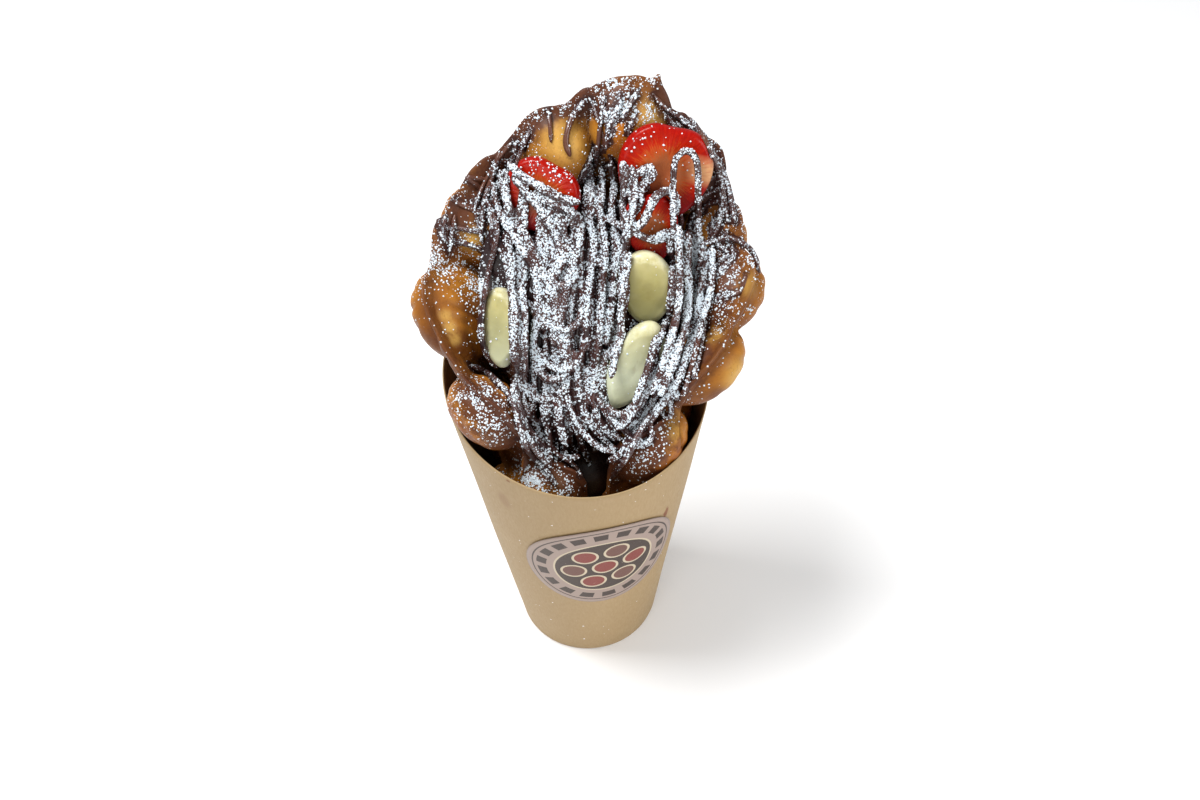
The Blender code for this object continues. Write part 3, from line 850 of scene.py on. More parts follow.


# %% [markdown]
# ### Crust
# A baked crust is gold where the batter is thick and brown where it touched the iron: on the tops of the
# bubbles and on the thin edge. Inside the cone it is also smeared with thin sauce that ran down before the
# sugar fell. The colour therefore follows the marks kept on the points, broken up by patches and grain.
# Painted light lies over that: painted shade where the crust faces down, in the creases and on listed
# spots, and painted highlights in part of the pale gold patches and spots.


# %% Crust finish
def crust_finish():
    look = Finish("baked crust", Specular_IOR_Level=0.16, Coat_Weight=0.04, Coat_Roughness=0.2)
    bubble, edge, inside = look.painted("marks")
    film, bare, gold_and_highlight = look.painted("places")
    toasted = look.add("Attribute", attribute_name="toasted").outputs["Fac"]
    near_string = look.add("Attribute", attribute_name="sauce").outputs["Fac"]
    height = look.along("Z")
    normal = look.add("NewGeometry").outputs["Normal"]
    facing_up = look.add("SeparateXYZ", {"Vector": normal}).outputs["Z"]
    browning = look.use(patch_group, Scale=62.0, Stretch=(1.3, 1.3, 0.45), Cover=0.58, Softness=0.25)
    gold_and_highlight_patches = look.use(patch_group, Scale=85.0, Cover=0.36, Softness=0.25)
    streaks = look.use(patch_group, Scale=150.0, Stretch=(1.0, 1.0, 0.28), Cover=0.45, Softness=0.1)
    pores = look.use(grain_group, Scale=1100.0)
    mottles = look.use(grain_group, Scale=260.0)
    stops = [
        (0.0, (0.24, 0.085, 0.015)),
        (0.28, (0.33, 0.120, 0.015)),
        (0.6, (0.47, 0.185, 0.016)),
        (0.85, (0.43, 0.145, 0.011)),
        (1.0, (0.30, 0.083, 0.006)),
    ]
    look.colour = look.ramp(look.maths("ADD", bubble, look.spread(mottles, -0.14, 0.14)), stops)
    look.layer(browning, (0.20, 0.060, 0.010), 0.62)
    # Paler gold patches: uneven baking, and in part painted highlights
    look.layer(gold_and_highlight_patches, (0.60, 0.275, 0.036), 0.4)
    # Painted shade: dark brown where the crust faces down, under the bubbles
    look.layer(look.between(facing_up, 0.25, -0.5, 0.0, 0.75), (0.115, 0.026, 0.003))
    # Dark brown at the listed spots: in part darker baking, in part painted shade
    look.layer(look.times(toasted, look.between(mottles, 0.3, 0.6, 0.65, 1.0)), (0.110, 0.026, 0.003))
    # Pale gold at the listed spots, in part a painted highlight
    look.layer(gold_and_highlight, (0.66, 0.385, 0.085), 0.85)
    # Dark brown on the thin edge, which bakes crisp, and painted shade in the creases
    look.layer(edge, (0.13, 0.045, 0.013), 0.75)
    look.layer(look.between(pores, 0.55, 0.75, 0.0, 0.5), (0.14, 0.050, 0.013))

    # Thin sauce: the film on the crust, then what ran down inside and what lies along the strings
    thin_sauce = look.maths("ADD", film, look.spread(mottles, -0.3, 0.3))
    look.layer(look.between(thin_sauce, 0.25, 0.75, 0.0, 0.92), (0.078, 0.024, 0.011))
    run_down = look.times(inside, look.between(bubble, 0.9, 0.35))
    run_down = look.times(run_down, look.between(height, 0.140, 0.175, 0.1, 0.75), streaks)
    soaked = look.times(near_string, look.between(bubble, 0.97, 0.7, 0.55, 1.0))
    wet = look.maths("ADD", soaked, look.spread(mottles, -0.4, 0.4))
    smear = look.maths("MAXIMUM", run_down, look.between(wet, 0.42, 0.62))
    clear_of_both = look.maths("SUBTRACT", 1.0, look.maths("MAXIMUM", bare, gold_and_highlight))
    look.layer(look.times(smear, clear_of_both), (0.045, 0.016, 0.011))

    sticky = look.between(height, 0.13, 0.19, 0.015, 0.06)
    sticky = look.times(sticky, look.between(bare, 0.0, 0.6, 1.0, 0.05))
    roughness = look.spread(mottles, 0.38, 0.54)
    return look.done(*dusted(look, sticky, 2000.0, roughness, pores), 0.14 * MM)


sheet_body, sheet_marks = sheet_shape()
sheet = piece("waffle_sheet", sheet_body, crust_finish(), ["waffle"])
paint(sheet, "marks", sheet_marks)

# %% [markdown]
# ## Fruit
# A slice is a disc with a rounded side: a wide flat berry outline for a strawberry, an oval for an oblique
# cut of banana. Its faces are polar grids, so the flesh can have real fibres and a dimple in the middle.
# The slices stand shingled in the heap, each leaning on the one behind it, in the places of their solids.

# %% Fruit sizes
HEAP_MIDDLE = 174 * MM
HEAP_SLOPE = 1.25
HEAP_BULGE = 9 * MM
SLOPE_ANGLE = math.atan(HEAP_SLOPE)
SLICE_COLUMNS = 144
FACE_RINGS = 22
MARKS_SPAN = 60 * MM

# Width, length and thickness in millimetres, place over the heap's slope, and turns in degrees
STRAWBERRIES = {
    "strawberry_right": ((37, 37, 6), (33, 31, 0), (14, 4, -14)),
    "strawberry_left": ((30, 27, 6), (-10.5, 27, -2.5), (14, 0, -30)),
    "strawberry_middle": ((21, 26, 6), (28, 19.5, 3.3), (18, 0, 6)),
}
BANANAS = {
    "banana_upper": ((19.5, 29, 6), (26, 6, 2.5), (20, 0, 4)),
    "banana_lower": ((18.5, 37, 6.5), (21, -11.5, 2), (16, 6, -24)),
    "banana_left": ((17, 29, 7), (-26, -2, 0.5), (0, -24, 0)),
}


# %% Slice shapes
def slice_place(place, turn):
    """The matrix that lays a slice on the heap's slope, lifted off it and turned about its own axes."""
    x, y, lift = (size * MM for size in place)
    up = Vector((0, -math.sin(SLOPE_ANGLE), math.cos(SLOPE_ANGLE)))
    middle = Vector((x, y, HEAP_MIDDLE + HEAP_BULGE + HEAP_SLOPE * y)) + up * lift
    own = Euler([math.radians(degrees) for degrees in turn]).to_matrix().to_4x4()
    return Matrix.Translation(middle) @ Matrix.Rotation(SLOPE_ANGLE, 4, "X") @ own


def moved(points, matrix):
    whole = np.array(matrix)
    return np.asarray(points) @ whole[:3, :3].T + whole[:3, 3]


def slice_shape(outline, thick, side, relief):
    """A disc of this outline. side lists (size, level) round the rim, relief moves the faces."""
    rings, marks = [], []
    shares = np.linspace(0.05, 0.93, FACE_RINGS)
    under = [(share * side[0][0], -0.5) for share in shares]
    over = [(share * side[-1][0], 0.5) for share in shares[::-1]]
    for share, level in under + side + over:
        x, y = outline[0] * share, outline[1] * share
        flat = rows(x, y, 0.0)
        if abs(level) == 0.5:
            moved_by = np.sign(level) * relief(flat, share)
        else:
            moved_by = bumps(flat, 0.12, 3, 8)
        rings.append(rows(x, y, thick * level + moved_by))
        marks.append(rows(0.5 + x / MARKS_SPAN, 0.5 + y / MARKS_SPAN, share))
    tips = (0, 0, rings[0][0][2]), (0, 0, rings[-1][0][2])
    marks.append(np.array([[0.5, 0.5, 0.0]] * 2))
    return capped(rings, *tips), np.concatenate(marks)


def berry_outline(wide, long):
    """A berry cut lengthwise: broad and dimpled at the stalk end, narrower at the tip."""
    angle = -turns(SLICE_COLUMNS)
    pointed = 1 - 0.30 * (0.5 - 0.5 * np.sin(angle)) ** 1.5
    dimple = 1 - 0.10 * np.exp(-((angle - np.pi / 2) ** 2) / 0.12)
    return wide / 2 * pointed * np.cos(angle), long / 2 * dimple * np.sin(angle)


def banana_outline(wide, long):
    """An oblique cut: the longer it is for its width, the more its lower end comes to a point."""
    angle = -turns(SLICE_COLUMNS)
    wave = 1 + 0.02 * np.cos(3 * angle)
    narrowed = 1 - 0.34 * (long / wide - 0.8) * np.clip(-np.sin(angle), 0, 1) ** 2
    return wide / 2 * wave * narrowed * np.cos(angle), long / 2 * wave * np.sin(angle)


def berry_relief(flat, share):
    """Fibres that run out from the core, which is a little sunk."""
    turn = np.arctan2(flat[:, 1], flat[:, 0])
    fibres = 0.05 * MM * np.sin(34 * turn + 5 * share) * smooth_step(3 * share - 0.9) * (share < 0.86)
    core = -0.7 * MM * np.exp(-((share / 0.3) ** 2))
    return fibres + core + bumps(flat, 0.12, 2.5, 9)


def banana_relief(flat, share):
    swollen = 0.9 * MM * (1 - share**2)
    return swollen - 0.3 * MM * np.exp(-((share / 0.2) ** 2)) + bumps(flat, 0.12, 2.2, 10)


# %% Fruit finishes
def berry_finish():
    look = Finish(
        "strawberry flesh",
        Specular_IOR_Level=0.12,
        Coat_Weight=0.07,
        Coat_Roughness=0.12,
        Subsurface_Weight=0.03,
        Subsurface_Radius=(0.005, 0.001, 0.0005),
    )
    across, along, from_core = look.painted("marks")
    turn = look.maths("ARCTAN2", look.maths("SUBTRACT", along, 0.5), look.maths("SUBTRACT", across, 0.5))
    spokes = look.add("CombineXYZ", {"X": look.times(turn, 6.0), "Y": from_core}).outputs[0]
    inputs = {"Vector": spokes, "Scale": 3.2, "Detail": 3.0, "Roughness": 0.7}
    fibres = look.add("TexNoise", inputs).outputs["Fac"]
    stops = [
        (0.0, (0.32, 0.080, 0.026)),
        (0.30, (0.38, 0.110, 0.036)),
        (0.48, (0.48, 0.082, 0.014)),
        (0.66, (0.43, 0.012, 0.002)),
        (1.0, (0.30, 0.003, 0.001)),
    ]
    look.colour = look.ramp(look.maths("ADD", from_core, look.spread(fibres, -0.20, 0.20)), stops)
    # Painted shade: the lower end of each slice turns dark crimson
    lower_end = look.maths("SUBTRACT", along, look.spread(fibres, 0.0, 0.06))
    look.layer(look.between(lower_end, 0.44, 0.28, 0.0, 0.85), (0.155, 0.004, 0.008))
    unripe_here = look.times(look.between(along, 0.47, 0.53), look.between(along, 0.67, 0.60))
    on_right = look.between(look.along("X"), 0.040, 0.044)
    unripe = look.times(unripe_here, on_right, look.between(fibres, 0.3, 0.5, 0.5, 0.9))
    look.layer(unripe, (0.66, 0.36, 0.17))
    pale_fibres = look.times(look.between(fibres, 0.56, 0.66), look.between(from_core, 0.9, 0.6))
    look.layer(pale_fibres, (0.56, 0.20, 0.07), 0.22)
    wet = look.use(grain_group, Scale=500.0)
    roughness = look.spread(wet, 0.18, 0.36)
    return look.done(*dusted(look, 0.004, 1250.0, roughness, wet, rough=0.8, raised=1.0), 0.10 * MM)


def banana_finish():
    look = Finish(
        "banana flesh",
        Specular_IOR_Level=0.35,
        Coat_Weight=0.12,
        Coat_Roughness=0.2,
        Subsurface_Weight=0.1,
        Subsurface_Radius=(0.004, 0.003, 0.001),
    )
    across, along, from_core = look.painted("marks")
    height = look.along("Z")
    soft = look.use(grain_group, Scale=420.0)
    green = look.use(patch_group, Scale=75.0, Cover=0.5, Softness=0.4)
    bruised = look.use(patch_group, Scale=90.0, Stretch=(1.0, 1.0, 0.4), Cover=0.16, Softness=0.10)
    stops = [
        (0.0, (0.34, 0.290, 0.100)),
        (0.35, (0.42, 0.370, 0.140)),
        (0.8, (0.49, 0.440, 0.195)),
        (1.0, (0.66, 0.630, 0.410)),
    ]
    look.colour = look.ramp(look.maths("ADD", from_core, look.spread(soft, -0.12, 0.12)), stops)
    # Painted light: the slices low in the heap are paler
    look.layer(look.between(height, 0.190, 0.170, 0.0, 0.9), (0.65, 0.69, 0.49))
    look.layer(green, (0.27, 0.24, 0.070), 0.55)
    # Painted shade: dark olive towards the lower left of the slices high in the heap
    from_low_left = look.maths("ADD", along, look.times(across, 0.9))
    low_left_shade = look.times(look.between(from_low_left, 1.08, 0.66, 0.0, 0.9), look.between(height, 0.170, 0.188))
    look.layer(low_left_shade, (0.13, 0.115, 0.018))
    look.layer(bruised, (0.22, 0.12, 0.05), 0.5)
    look.layer(look.use(sugar_group, Amount=0.004), SUGAR_WHITE)
    return look.done(look.spread(soft, 0.28, 0.42), soft, 0.10 * MM)


# %% Slices
BERRY_SIDE = [
    (0.90, -0.44), (0.96, -0.34), (0.99, -0.18), (1.0, 0.0), (0.99, 0.20), (0.97, 0.36), (0.94, 0.46),
]
BANANA_SIDE = [
    (0.86, -0.47), (0.94, -0.38), (0.985, -0.22), (1.0, 0.0), (0.985, 0.20), (0.94, 0.37), (0.86, 0.48),
]
slices = []
rooms = []


def add_slices(kinds, outline_of, side, relief, material):
    for name, (size, place, turn) in kinds.items():
        wide, long, thick = (length * MM for length in size)
        (points, faces), marks = slice_shape(outline_of(wide, long), thick, side, relief)
        matrix = slice_place(place, turn)
        made = piece(name + "_slice", (moved(points, matrix), faces), material, [name])
        paint(made, "marks", marks)
        slices.append(made)
        rooms.append((matrix, wide / 2, long / 2, thick / 2))


add_slices(STRAWBERRIES, berry_outline, BERRY_SIDE, berry_relief, berry_finish())
add_slices(BANANAS, banana_outline, BANANA_SIDE, banana_relief, banana_finish())

# %% [markdown]
# ## The heap of chocolate sauce
# The cook squeezes the sauce out in thick strings, to and fro over the heap, so that they hang in narrow
# turns, pile up and melt into each other. Loose tubes over a mound would look like noodles, so a slab of
# the heap's top and all its strings are remeshed into one skin, with voxels finer than the strings. That
# rounds the grooves where they touch. The plug below the slab can't be seen and stays a plain skin.
#
# The strings are drawn as the photo shows them: a line of pixels is sent out from the camera, one ray for
# each point, and the string lies where the rays land, bridging the hollows on its way.

# %% Heap shape
FILLING_GAP = 1.3 * MM
FILLING_FLOOR_GAP = 3 * MM
HEAP_LUMP = 1.3 * MM
SLAB_THICK = 4 * MM
STRING_DEPTH = 1.7 * MM
PLUG_COLUMNS = 120
PLUG_RINGS = 30
SLAB_COLUMNS = 240
TOP_RINGS = 50
PLUG_INSET = 0.5 * MM
THINNEST_SLAB = 1.5 * MM
# The room for a slice: how much wider than its outline squared, and how far above and below it
ROOM_AROUND_SLICE = 1.08
ROOM_OVER_SLICE = 12 * MM
ROOM_UNDER_SLICE = 0.2 * MM
randomly = np.random.default_rng(7)


def filling_radius(angle, height):
    bubbles_inside = (BUBBLE_RISE + FILLING_GAP) * free_inside(height)
    return wall_radius(angle, height) - WEB_HALF - FILLING_GAP - bubbles_inside


def heap_height(x, y, share):
    """The heap's sloping top: highest at the back, rounded up in the middle."""
    lumps = np.sin(x / (5.1 * MM)) * np.cos(y / (6.3 * MM)) + np.sin(y / (9.0 * MM) + x / (11 * MM))
    rounded = HEAP_BULGE * (1 - share**2)
    return HEAP_MIDDLE + HEAP_SLOPE * y + rounded + HEAP_LUMP * lumps * (1 - share**4)


def heap_side(angle):
    """Where the heap's sloping top meets the filling's side, at each angle."""
    height = HEAP_MIDDLE + 0 * angle
    for _ in range(60):
        radius = filling_radius(angle, height)
        wanted = heap_height(radius * np.sin(angle), radius * np.cos(angle), 1.0)
        height = height + 0.35 * (wanted - height)
    return filling_radius(angle, height), height


def top_rings(angle, radius, sunk):
    """Rings of the heap's top from its rim to its middle, sunk by a depth below the tops of the strings."""
    rings = []
    for share in np.linspace(1, 0, TOP_RINGS, endpoint=False):
        x, y = radius * share * np.sin(angle), radius * share * np.cos(angle)
        rings.append(rows(x, y, heap_height(x, y, share) - sunk))
    return rings


def make_room(points):
    """Pushes points down below every slice that lies in the heap."""
    for matrix, half_wide, half_long, half_thick in rooms:
        own = moved(points, matrix.inverted())
        inside = (own[:, 0] / half_wide) ** 2 + (own[:, 1] / half_long) ** 2 < ROOM_AROUND_SLICE
        hit = inside & (own[:, 2] > -half_thick) & (own[:, 2] < half_thick + ROOM_OVER_SLICE)
        own[hit, 2] = -half_thick - ROOM_UNDER_SLICE
        points[hit] = moved(own[hit], matrix)
    return points


def plug():
    """The filling below the slab, down to the floor of the cone."""
    angle = turns(PLUG_COLUMNS)
    radius, level = heap_side(angle)
    low = CONE_BOTTOM + CONE_FLOOR + FILLING_FLOOR_GAP
    heights = [low + (level - SLAB_THICK - low) * share for share in np.linspace(0, 1, PLUG_RINGS)]
    rings = [around(filling_radius(angle, height), angle, height) for height in heights]
    sunk = STRING_DEPTH + SLAB_THICK / 2
    rings += top_rings(angle, radius - PLUG_INSET, sunk)
    top = float(heap_height(0.0, 0.0, 0.0)) - sunk
    points, faces = capped(rings, (0, 0, low), (0, 0, top))
    return make_room(points), faces


def slab():
    """The heap's top as a closed slab, with room for the slices."""
    angle = turns(SLAB_COLUMNS)
    radius, _ = heap_side(angle)
    upper = top_rings(angle, radius, STRING_DEPTH)
    lower = top_rings(angle, radius, STRING_DEPTH + SLAB_THICK)
    middle = float(heap_height(0.0, 0.0, 0.0)) - STRING_DEPTH
    points, faces = capped([*lower[::-1], *upper], (0, 0, middle - SLAB_THICK), (0, 0, middle))
    high = len(lower) * len(angle)
    points[high:-2] = make_room(points[high:-2])
    lowered = points[high:-2].reshape(len(upper), len(angle), 3)[::-1].reshape(-1, 3)
    points[:high, 2] = np.minimum(points[:high, 2], lowered[:, 2] - THINNEST_SLAB)
    return points, faces


# %% Strings of sauce
PIXEL_STEP = 1.6
BRIDGE = 4
TAPER = 5
SUNK_SHARE = 0.6
TURN_POINTS = 6
# For a poured string, in pixels: how much shorter a run may be at either end, its lean and its waver
SHORTER_AT_TOP = 14
SHORTER_AT_FOOT = 30
LEAN = 7
WAVER = 2.2


def smooth_line(points, step):
    """A smooth line through the points, with one point about every step."""
    points = np.asarray(points, float)
    ends = np.concatenate([[2 * points[0] - points[1]], points, [2 * points[-1] - points[-2]]])
    line = []
    for before, start, end, after in zip(ends, ends[1:], ends[2:], ends[3:]):
        count = max(2, round(float(np.linalg.norm(end - start)) / step))
        share = np.arange(count)[:, None] / count
        bend = (2 * before - 5 * start + 4 * end - after) * share**2
        turn = (3 * start - before - 3 * end + after) * share**3
        line.append(start + 0.5 * ((end - before) * share + bend + turn))
    return np.concatenate([*line, points[-1:]])


def windows(values, reach):
    """For each value a column: itself and those up to this reach before and after it."""
    padded = np.pad(values, reach, mode="edge")
    return np.array([padded[start:start + len(values)] for start in range(2 * reach + 1)])


def drape(pixels, radius, below, raised=0.0, bridge=BRIDGE, beside=(0,)):
    """A string of sauce along a line of pixels, laid on the things below. Hollows are bridged.

    beside lists how many pixels to the side the rays also look for something to lie on."""
    line = smooth_line(pixels, PIXEL_STEP)
    rays = [photo_ray(pixel) for pixel in line]
    reach = []
    for pixel in line:
        hits = [below.ray_cast(camera.location, photo_ray(pixel + (step, 0)))[3] for step in beside]
        reach.append(min([depth for depth in hits if depth is not None], default=None))
    seen = [place for place, depth in enumerate(reach) if depth is not None]
    depth = np.interp(np.arange(len(line)), seen, [reach[place] for place in seen])
    nearest = np.min(windows(depth, bridge), axis=0)
    eased = np.mean(windows(nearest, bridge), axis=0)
    path = np.array(camera.location) + np.array(rays) * (eased - SUNK_SHARE * radius - raised)[:, None]
    from_end = np.minimum(np.arange(len(path)), np.arange(len(path))[::-1]) + 1
    tapered = np.minimum(1, from_end / TAPER) ** 0.5
    return path, radius * tapered * (1 + 0.14 * uneven(path, 3.0 * MM, 11))


def nearest_string(points, lines):
    """For each point, how far the nearest string's middle line is, and the string's radius there."""
    spots = np.concatenate([path for path, _ in lines])
    sizes = np.concatenate([radii for _, radii in lines])
    finder = KDTree(len(spots))
    for place, spot in enumerate(spots):
        finder.insert(spot, place)
    finder.balance()
    found = [finder.find(point) for point in points]
    return np.array([hit[2] for hit in found]), sizes[[hit[1] for hit in found]]


def to_and_fro(left, right, top, foot, gap):
    """Pixels of one string that is poured up and down in narrow turns, from left to right."""
    line, px, down = [], left, True
    while px < right:
        high = np.interp(px, *zip(*top)) + randomly.uniform(0, SHORTER_AT_TOP)
        low = np.interp(px, *zip(*foot)) - randomly.uniform(0, SHORTER_AT_FOOT)
        lean = randomly.uniform(-LEAN, LEAN)
        for share in np.linspace(0, 1, TURN_POINTS) if down else np.linspace(1, 0, TURN_POINTS):
            across = px + lean * (share - 0.5) + randomly.uniform(-WAVER, WAVER)
            line.append((across, high + (low - high) * share))
        px += gap * randomly.uniform(0.6, 1.5)
        down = not down
    return line


# %% [markdown]
# The photo's strings, as lines of its pixels from top to bottom. The first lists are the outline of the
# heap. The others are the strings that stand out: hanging loops, the column down the right side with its
# standing loop, and the thick string that crosses to the lower right.

# %% Strings of the heap
HEAP_TOP = [
    (487, 186), (500, 168), (513, 171), (530, 190), (560, 203), (585, 218), (592, 165), (612, 158),
    (636, 165), (652, 180),
]
HEAP_FOOT = [
    (487, 235), (500, 265), (509, 290), (514, 385), (530, 425), (545, 462), (575, 470), (600, 462),
    (611, 400), (614, 330), (625, 322), (628, 250), (640, 226), (652, 200),
]
COLUMN_TOP = [(626, 420), (640, 388), (654, 347), (666, 318), (669, 235), (680, 232), (700, 238), (714, 248)]
COLUMN_FOOT = [(626, 442), (640, 455), (660, 435), (680, 410), (700, 372), (714, 310)]

HEAP_STRINGS = [
    [(487, 193), (492, 220), (500, 247), (506, 262), (510, 285)],
    [(504, 233), (512, 260), (511, 287), (515, 312), (513, 340), (517, 378), (521, 398)],
    [(493, 182), (497, 205), (508, 227), (524, 253), (535, 273), (538, 310), (533, 345), (537, 375)],
    [(500, 170), (506, 195), (512, 218), (527, 238), (537, 262), (549, 282), (556, 310), (553, 345)],
    [(512, 176), (526, 192), (544, 215), (555, 233), (560, 247), (555, 268), (549, 290), (545, 325)],
    [(530, 192), (545, 200), (560, 206), (572, 212), (585, 224)],
    [(581, 220), (580, 235), (576, 253), (571, 273), (565, 295), (560, 330), (563, 360)],
    [(572, 241), (563, 260), (555, 275), (548, 292), (543, 330)],
    [(590, 170), (592, 195), (590, 220), (594, 245), (590, 280), (586, 320), (588, 350)],
    [(601, 166), (603, 190), (600, 215), (606, 245), (603, 290), (600, 330), (596, 365)],
    [(611, 160), (614, 185), (612, 212), (618, 240), (616, 275), (611, 310), (606, 345)],
    [(622, 162), (625, 185), (623, 210), (628, 228), (624, 262), (620, 300)],
    [(632, 166), (635, 185), (633, 208), (630, 226), (622, 240)],
    [(634, 176), (643, 171), (650, 168), (652, 177), (644, 183), (636, 190)],
    [(600, 215), (615, 223), (630, 230), (645, 238), (655, 238), (668, 230)],
    [(523, 380), (526, 390), (534, 397), (547, 399), (560, 394), (566, 380), (565, 350)],
    [(539, 352), (540, 371), (549, 379), (563, 376), (568, 362), (566, 330)],
    [(555, 335), (565, 358), (567, 377), (566, 395), (573, 413), (582, 428), (600, 444), (617, 449)],
    [(574, 350), (577, 370), (579, 390), (582, 408), (593, 426), (606, 438)],
    [(587, 365), (587, 393), (585, 415), (588, 432)],
    [(597, 362), (595, 393), (597, 420), (606, 434)],
    [(606, 350), (603, 385), (608, 415), (615, 433), (622, 440)],
    [(520, 388), (524, 407), (531, 420), (540, 425), (546, 413), (545, 398)],
    [(548, 400), (549, 420), (547, 440), (550, 462)],
    [(560, 398), (559, 420), (561, 440), (568, 463)],
    [(575, 410), (578, 432), (584, 450), (590, 466)],
    [(513, 380), (517, 400), (520, 420), (524, 436), (536, 448), (546, 458)],
]
COLUMN_STRINGS = [
    [
        (674, 240), (673, 205), (674, 168), (678, 156), (687, 151), (695, 157), (698, 172), (698, 205),
        (700, 245),
    ],
    [(632, 230), (643, 222), (650, 208), (657, 196), (668, 191), (675, 197), (677, 215)],
    [(640, 233), (650, 240), (660, 240), (670, 233), (680, 228)],
    [
        (671, 228), (670, 255), (673, 285), (670, 310), (664, 328), (656, 350), (648, 378), (637, 402),
        (629, 425),
    ],
    [(681, 215), (680, 250), (683, 285), (677, 318), (670, 345), (662, 375), (650, 405), (640, 430)],
    [(690, 225), (692, 262), (690, 300), (682, 335), (673, 368), (662, 395), (650, 420)],
    [(701, 240), (704, 270), (699, 305), (692, 335), (682, 372), (670, 398)],
    [(712, 246), (712, 280), (706, 308), (698, 330), (690, 350)],
    [(612, 410), (620, 425), (632, 440), (628, 455), (615, 462)],
    [(640, 425), (628, 440), (622, 452), (610, 462)],
]
FRONT_STRINGS = [
    [(512, 385), (518, 405), (524, 422), (533, 436), (545, 448)],
    [(520, 425), (530, 442), (540, 455), (552, 468)],
    [(528, 398), (532, 415), (538, 430), (548, 444), (556, 456)],
    [(541, 400), (545, 418), (549, 436), (550, 452)],
    [(556, 396), (559, 415), (562, 432), (566, 446)],
    [(566, 392), (571, 410), (578, 425), (588, 438), (601, 448), (616, 453)],
    [(580, 390), (584, 408), (592, 425), (603, 438), (613, 448)],
    [(592, 392), (597, 412), (605, 428), (614, 440)],
    [(606, 395), (609, 412), (612, 428), (616, 442)],
    [(535, 440), (550, 452), (565, 458), (580, 456)],
    [(488, 284), (483, 306), (481, 330), (485, 350), (497, 368)],
    [(521, 284), (524, 315), (524, 345), (523, 375)],
    [(629, 252), (624, 285), (621, 312), (621, 335), (616, 352), (611, 378)],
    [(508, 163), (520, 174), (535, 184), (550, 192), (565, 199), (580, 203)],
    [(690, 345), (681, 370), (669, 393), (656, 412), (643, 428), (630, 440)],
    [(676, 352), (665, 378), (653, 400), (640, 420), (628, 434)],
    [(664, 360), (652, 382), (640, 405), (630, 425)],
    [(516, 232), (523, 250), (534, 268), (547, 280), (560, 286), (572, 280), (577, 266)],
    [(528, 300), (538, 318), (552, 328), (566, 330), (578, 322), (582, 306)],
    [(590, 250), (598, 262), (610, 268), (619, 260), (620, 246)],
    [(535, 345), (545, 362), (560, 370), (574, 366), (582, 352), (584, 336)],
]
# Strings over the valley between the heap and the column. They lie on what is beside them too, as many
# pixels to either side as VALLEY_SIDES says
VALLEY_STRINGS = [
    [(679, 226), (679, 256), (680, 290), (676, 318), (669, 345), (661, 370), (652, 394)],
    [(688, 232), (687, 262), (689, 292), (686, 322), (679, 348), (670, 372), (660, 396)],
    [(656, 335), (650, 360), (642, 384), (634, 404)],
    [(598, 398), (606, 411), (616, 422), (628, 430)],
    [(642, 396), (634, 410), (625, 422), (615, 430)],
    [(607, 404), (613, 412), (621, 414), (629, 411), (635, 402)],
]
VALLEY_SIDES = (-8, 0, 8)
FRONT_BRIDGE = 13
STRING_RADIUS = 1.45 * MM
THIN_STRING_RADIUS = 1.1 * MM


def melted(name, shape, voxel, rounds):
    """The shape's outer skin as one mesh, remeshed finer than its strings and smoothed."""
    rough = object_of(name, shape)
    remesh = rough.modifiers.new("Melt", "REMESH")
    remesh.mode = "VOXEL"
    remesh.voxel_size = voxel
    relax = rough.modifiers.new("Relax", "SMOOTH")
    relax.factor = 0.5
    relax.iterations = rounds
    graph = bpy.context.evaluated_depsgraph_get()
    skin = bpy.data.meshes.new_from_object(rough.evaluated_get(graph))
    melted_shape = mesh_shape(skin)
    bpy.data.objects.remove(rough)
    bpy.data.meshes.remove(skin)
    return melted_shape


# Hollows between the strings, which get painted shade and little sugar: a pixel, and a radius in millimetres
SHADED_HOLLOWS = [
    ((516, 203), 2.8), ((499, 240), 4.2), ((492, 262), 3.2), ((534, 236), 2.0), ((526, 264), 2.8),
    ((487, 298), 3.2), ((563, 214), 2.0), ((573, 243), 2.2), ((545, 300), 1.4), ((588, 333), 1.8),
    ((604, 418), 2.6), ((629, 434), 3.2), ((578, 402), 2.0), ((549, 420), 2.2), ((540, 448), 2.4),
    ((570, 446), 2.0), ((612, 300), 1.6), ((616, 280), 1.2), ((483, 320), 2.4), ((483, 345), 2.4),
    ((591, 452), 2.6), ((604, 392), 1.6), ((530, 425), 2.0), ((563, 423), 1.8),
]
HEAP_VOXEL = 0.55 * MM
GROOVE_WIDTH = 0.7 * MM
HEAP_STRING_SIDES = 10


def string_radius():
    return STRING_RADIUS * randomly.uniform(0.85, 1.15)


def lay_strings(lines, most_raised, bridge=BRIDGE):
    """Lays a string on the heap along each line of pixels, each of its own size and raised a little."""
    for pixels in lines:
        radius = string_radius()
        strings.append(drape(pixels, radius, below_heap, randomly.uniform(0.8, most_raised) * MM, bridge))


fruit_shapes = [shape_of(made) for made in slices]
slab_shape = slab()
plug_shape = plug()
below_heap = tree_of(joined([slab_shape, plug_shape, *fruit_shapes, shape_of(sheet)]))
strings = [
    drape(to_and_fro(488, 650, HEAP_TOP, HEAP_FOOT, 8.5), THIN_STRING_RADIUS, below_heap),
    drape(to_and_fro(627, 713, COLUMN_TOP, COLUMN_FOOT, 7.5), THIN_STRING_RADIUS, below_heap),
]
lay_strings(HEAP_STRINGS + COLUMN_STRINGS, 2.6)
lay_strings(FRONT_STRINGS, 2.0, FRONT_BRIDGE)
string_shapes = [tube(*string, HEAP_STRING_SIDES) for string in strings]
below_valley = tree_of(joined([slab_shape, *fruit_shapes, shape_of(sheet), *string_shapes]))
for pixels in VALLEY_STRINGS:
    strings.append(drape(pixels, string_radius(), below_valley, -0.4 * MM, FRONT_BRIDGE, VALLEY_SIDES))
    string_shapes.append(tube(*strings[-1], HEAP_STRING_SIDES))
heap_shape = melted("heap", joined([slab_shape, *string_shapes]), HEAP_VOXEL, 1)


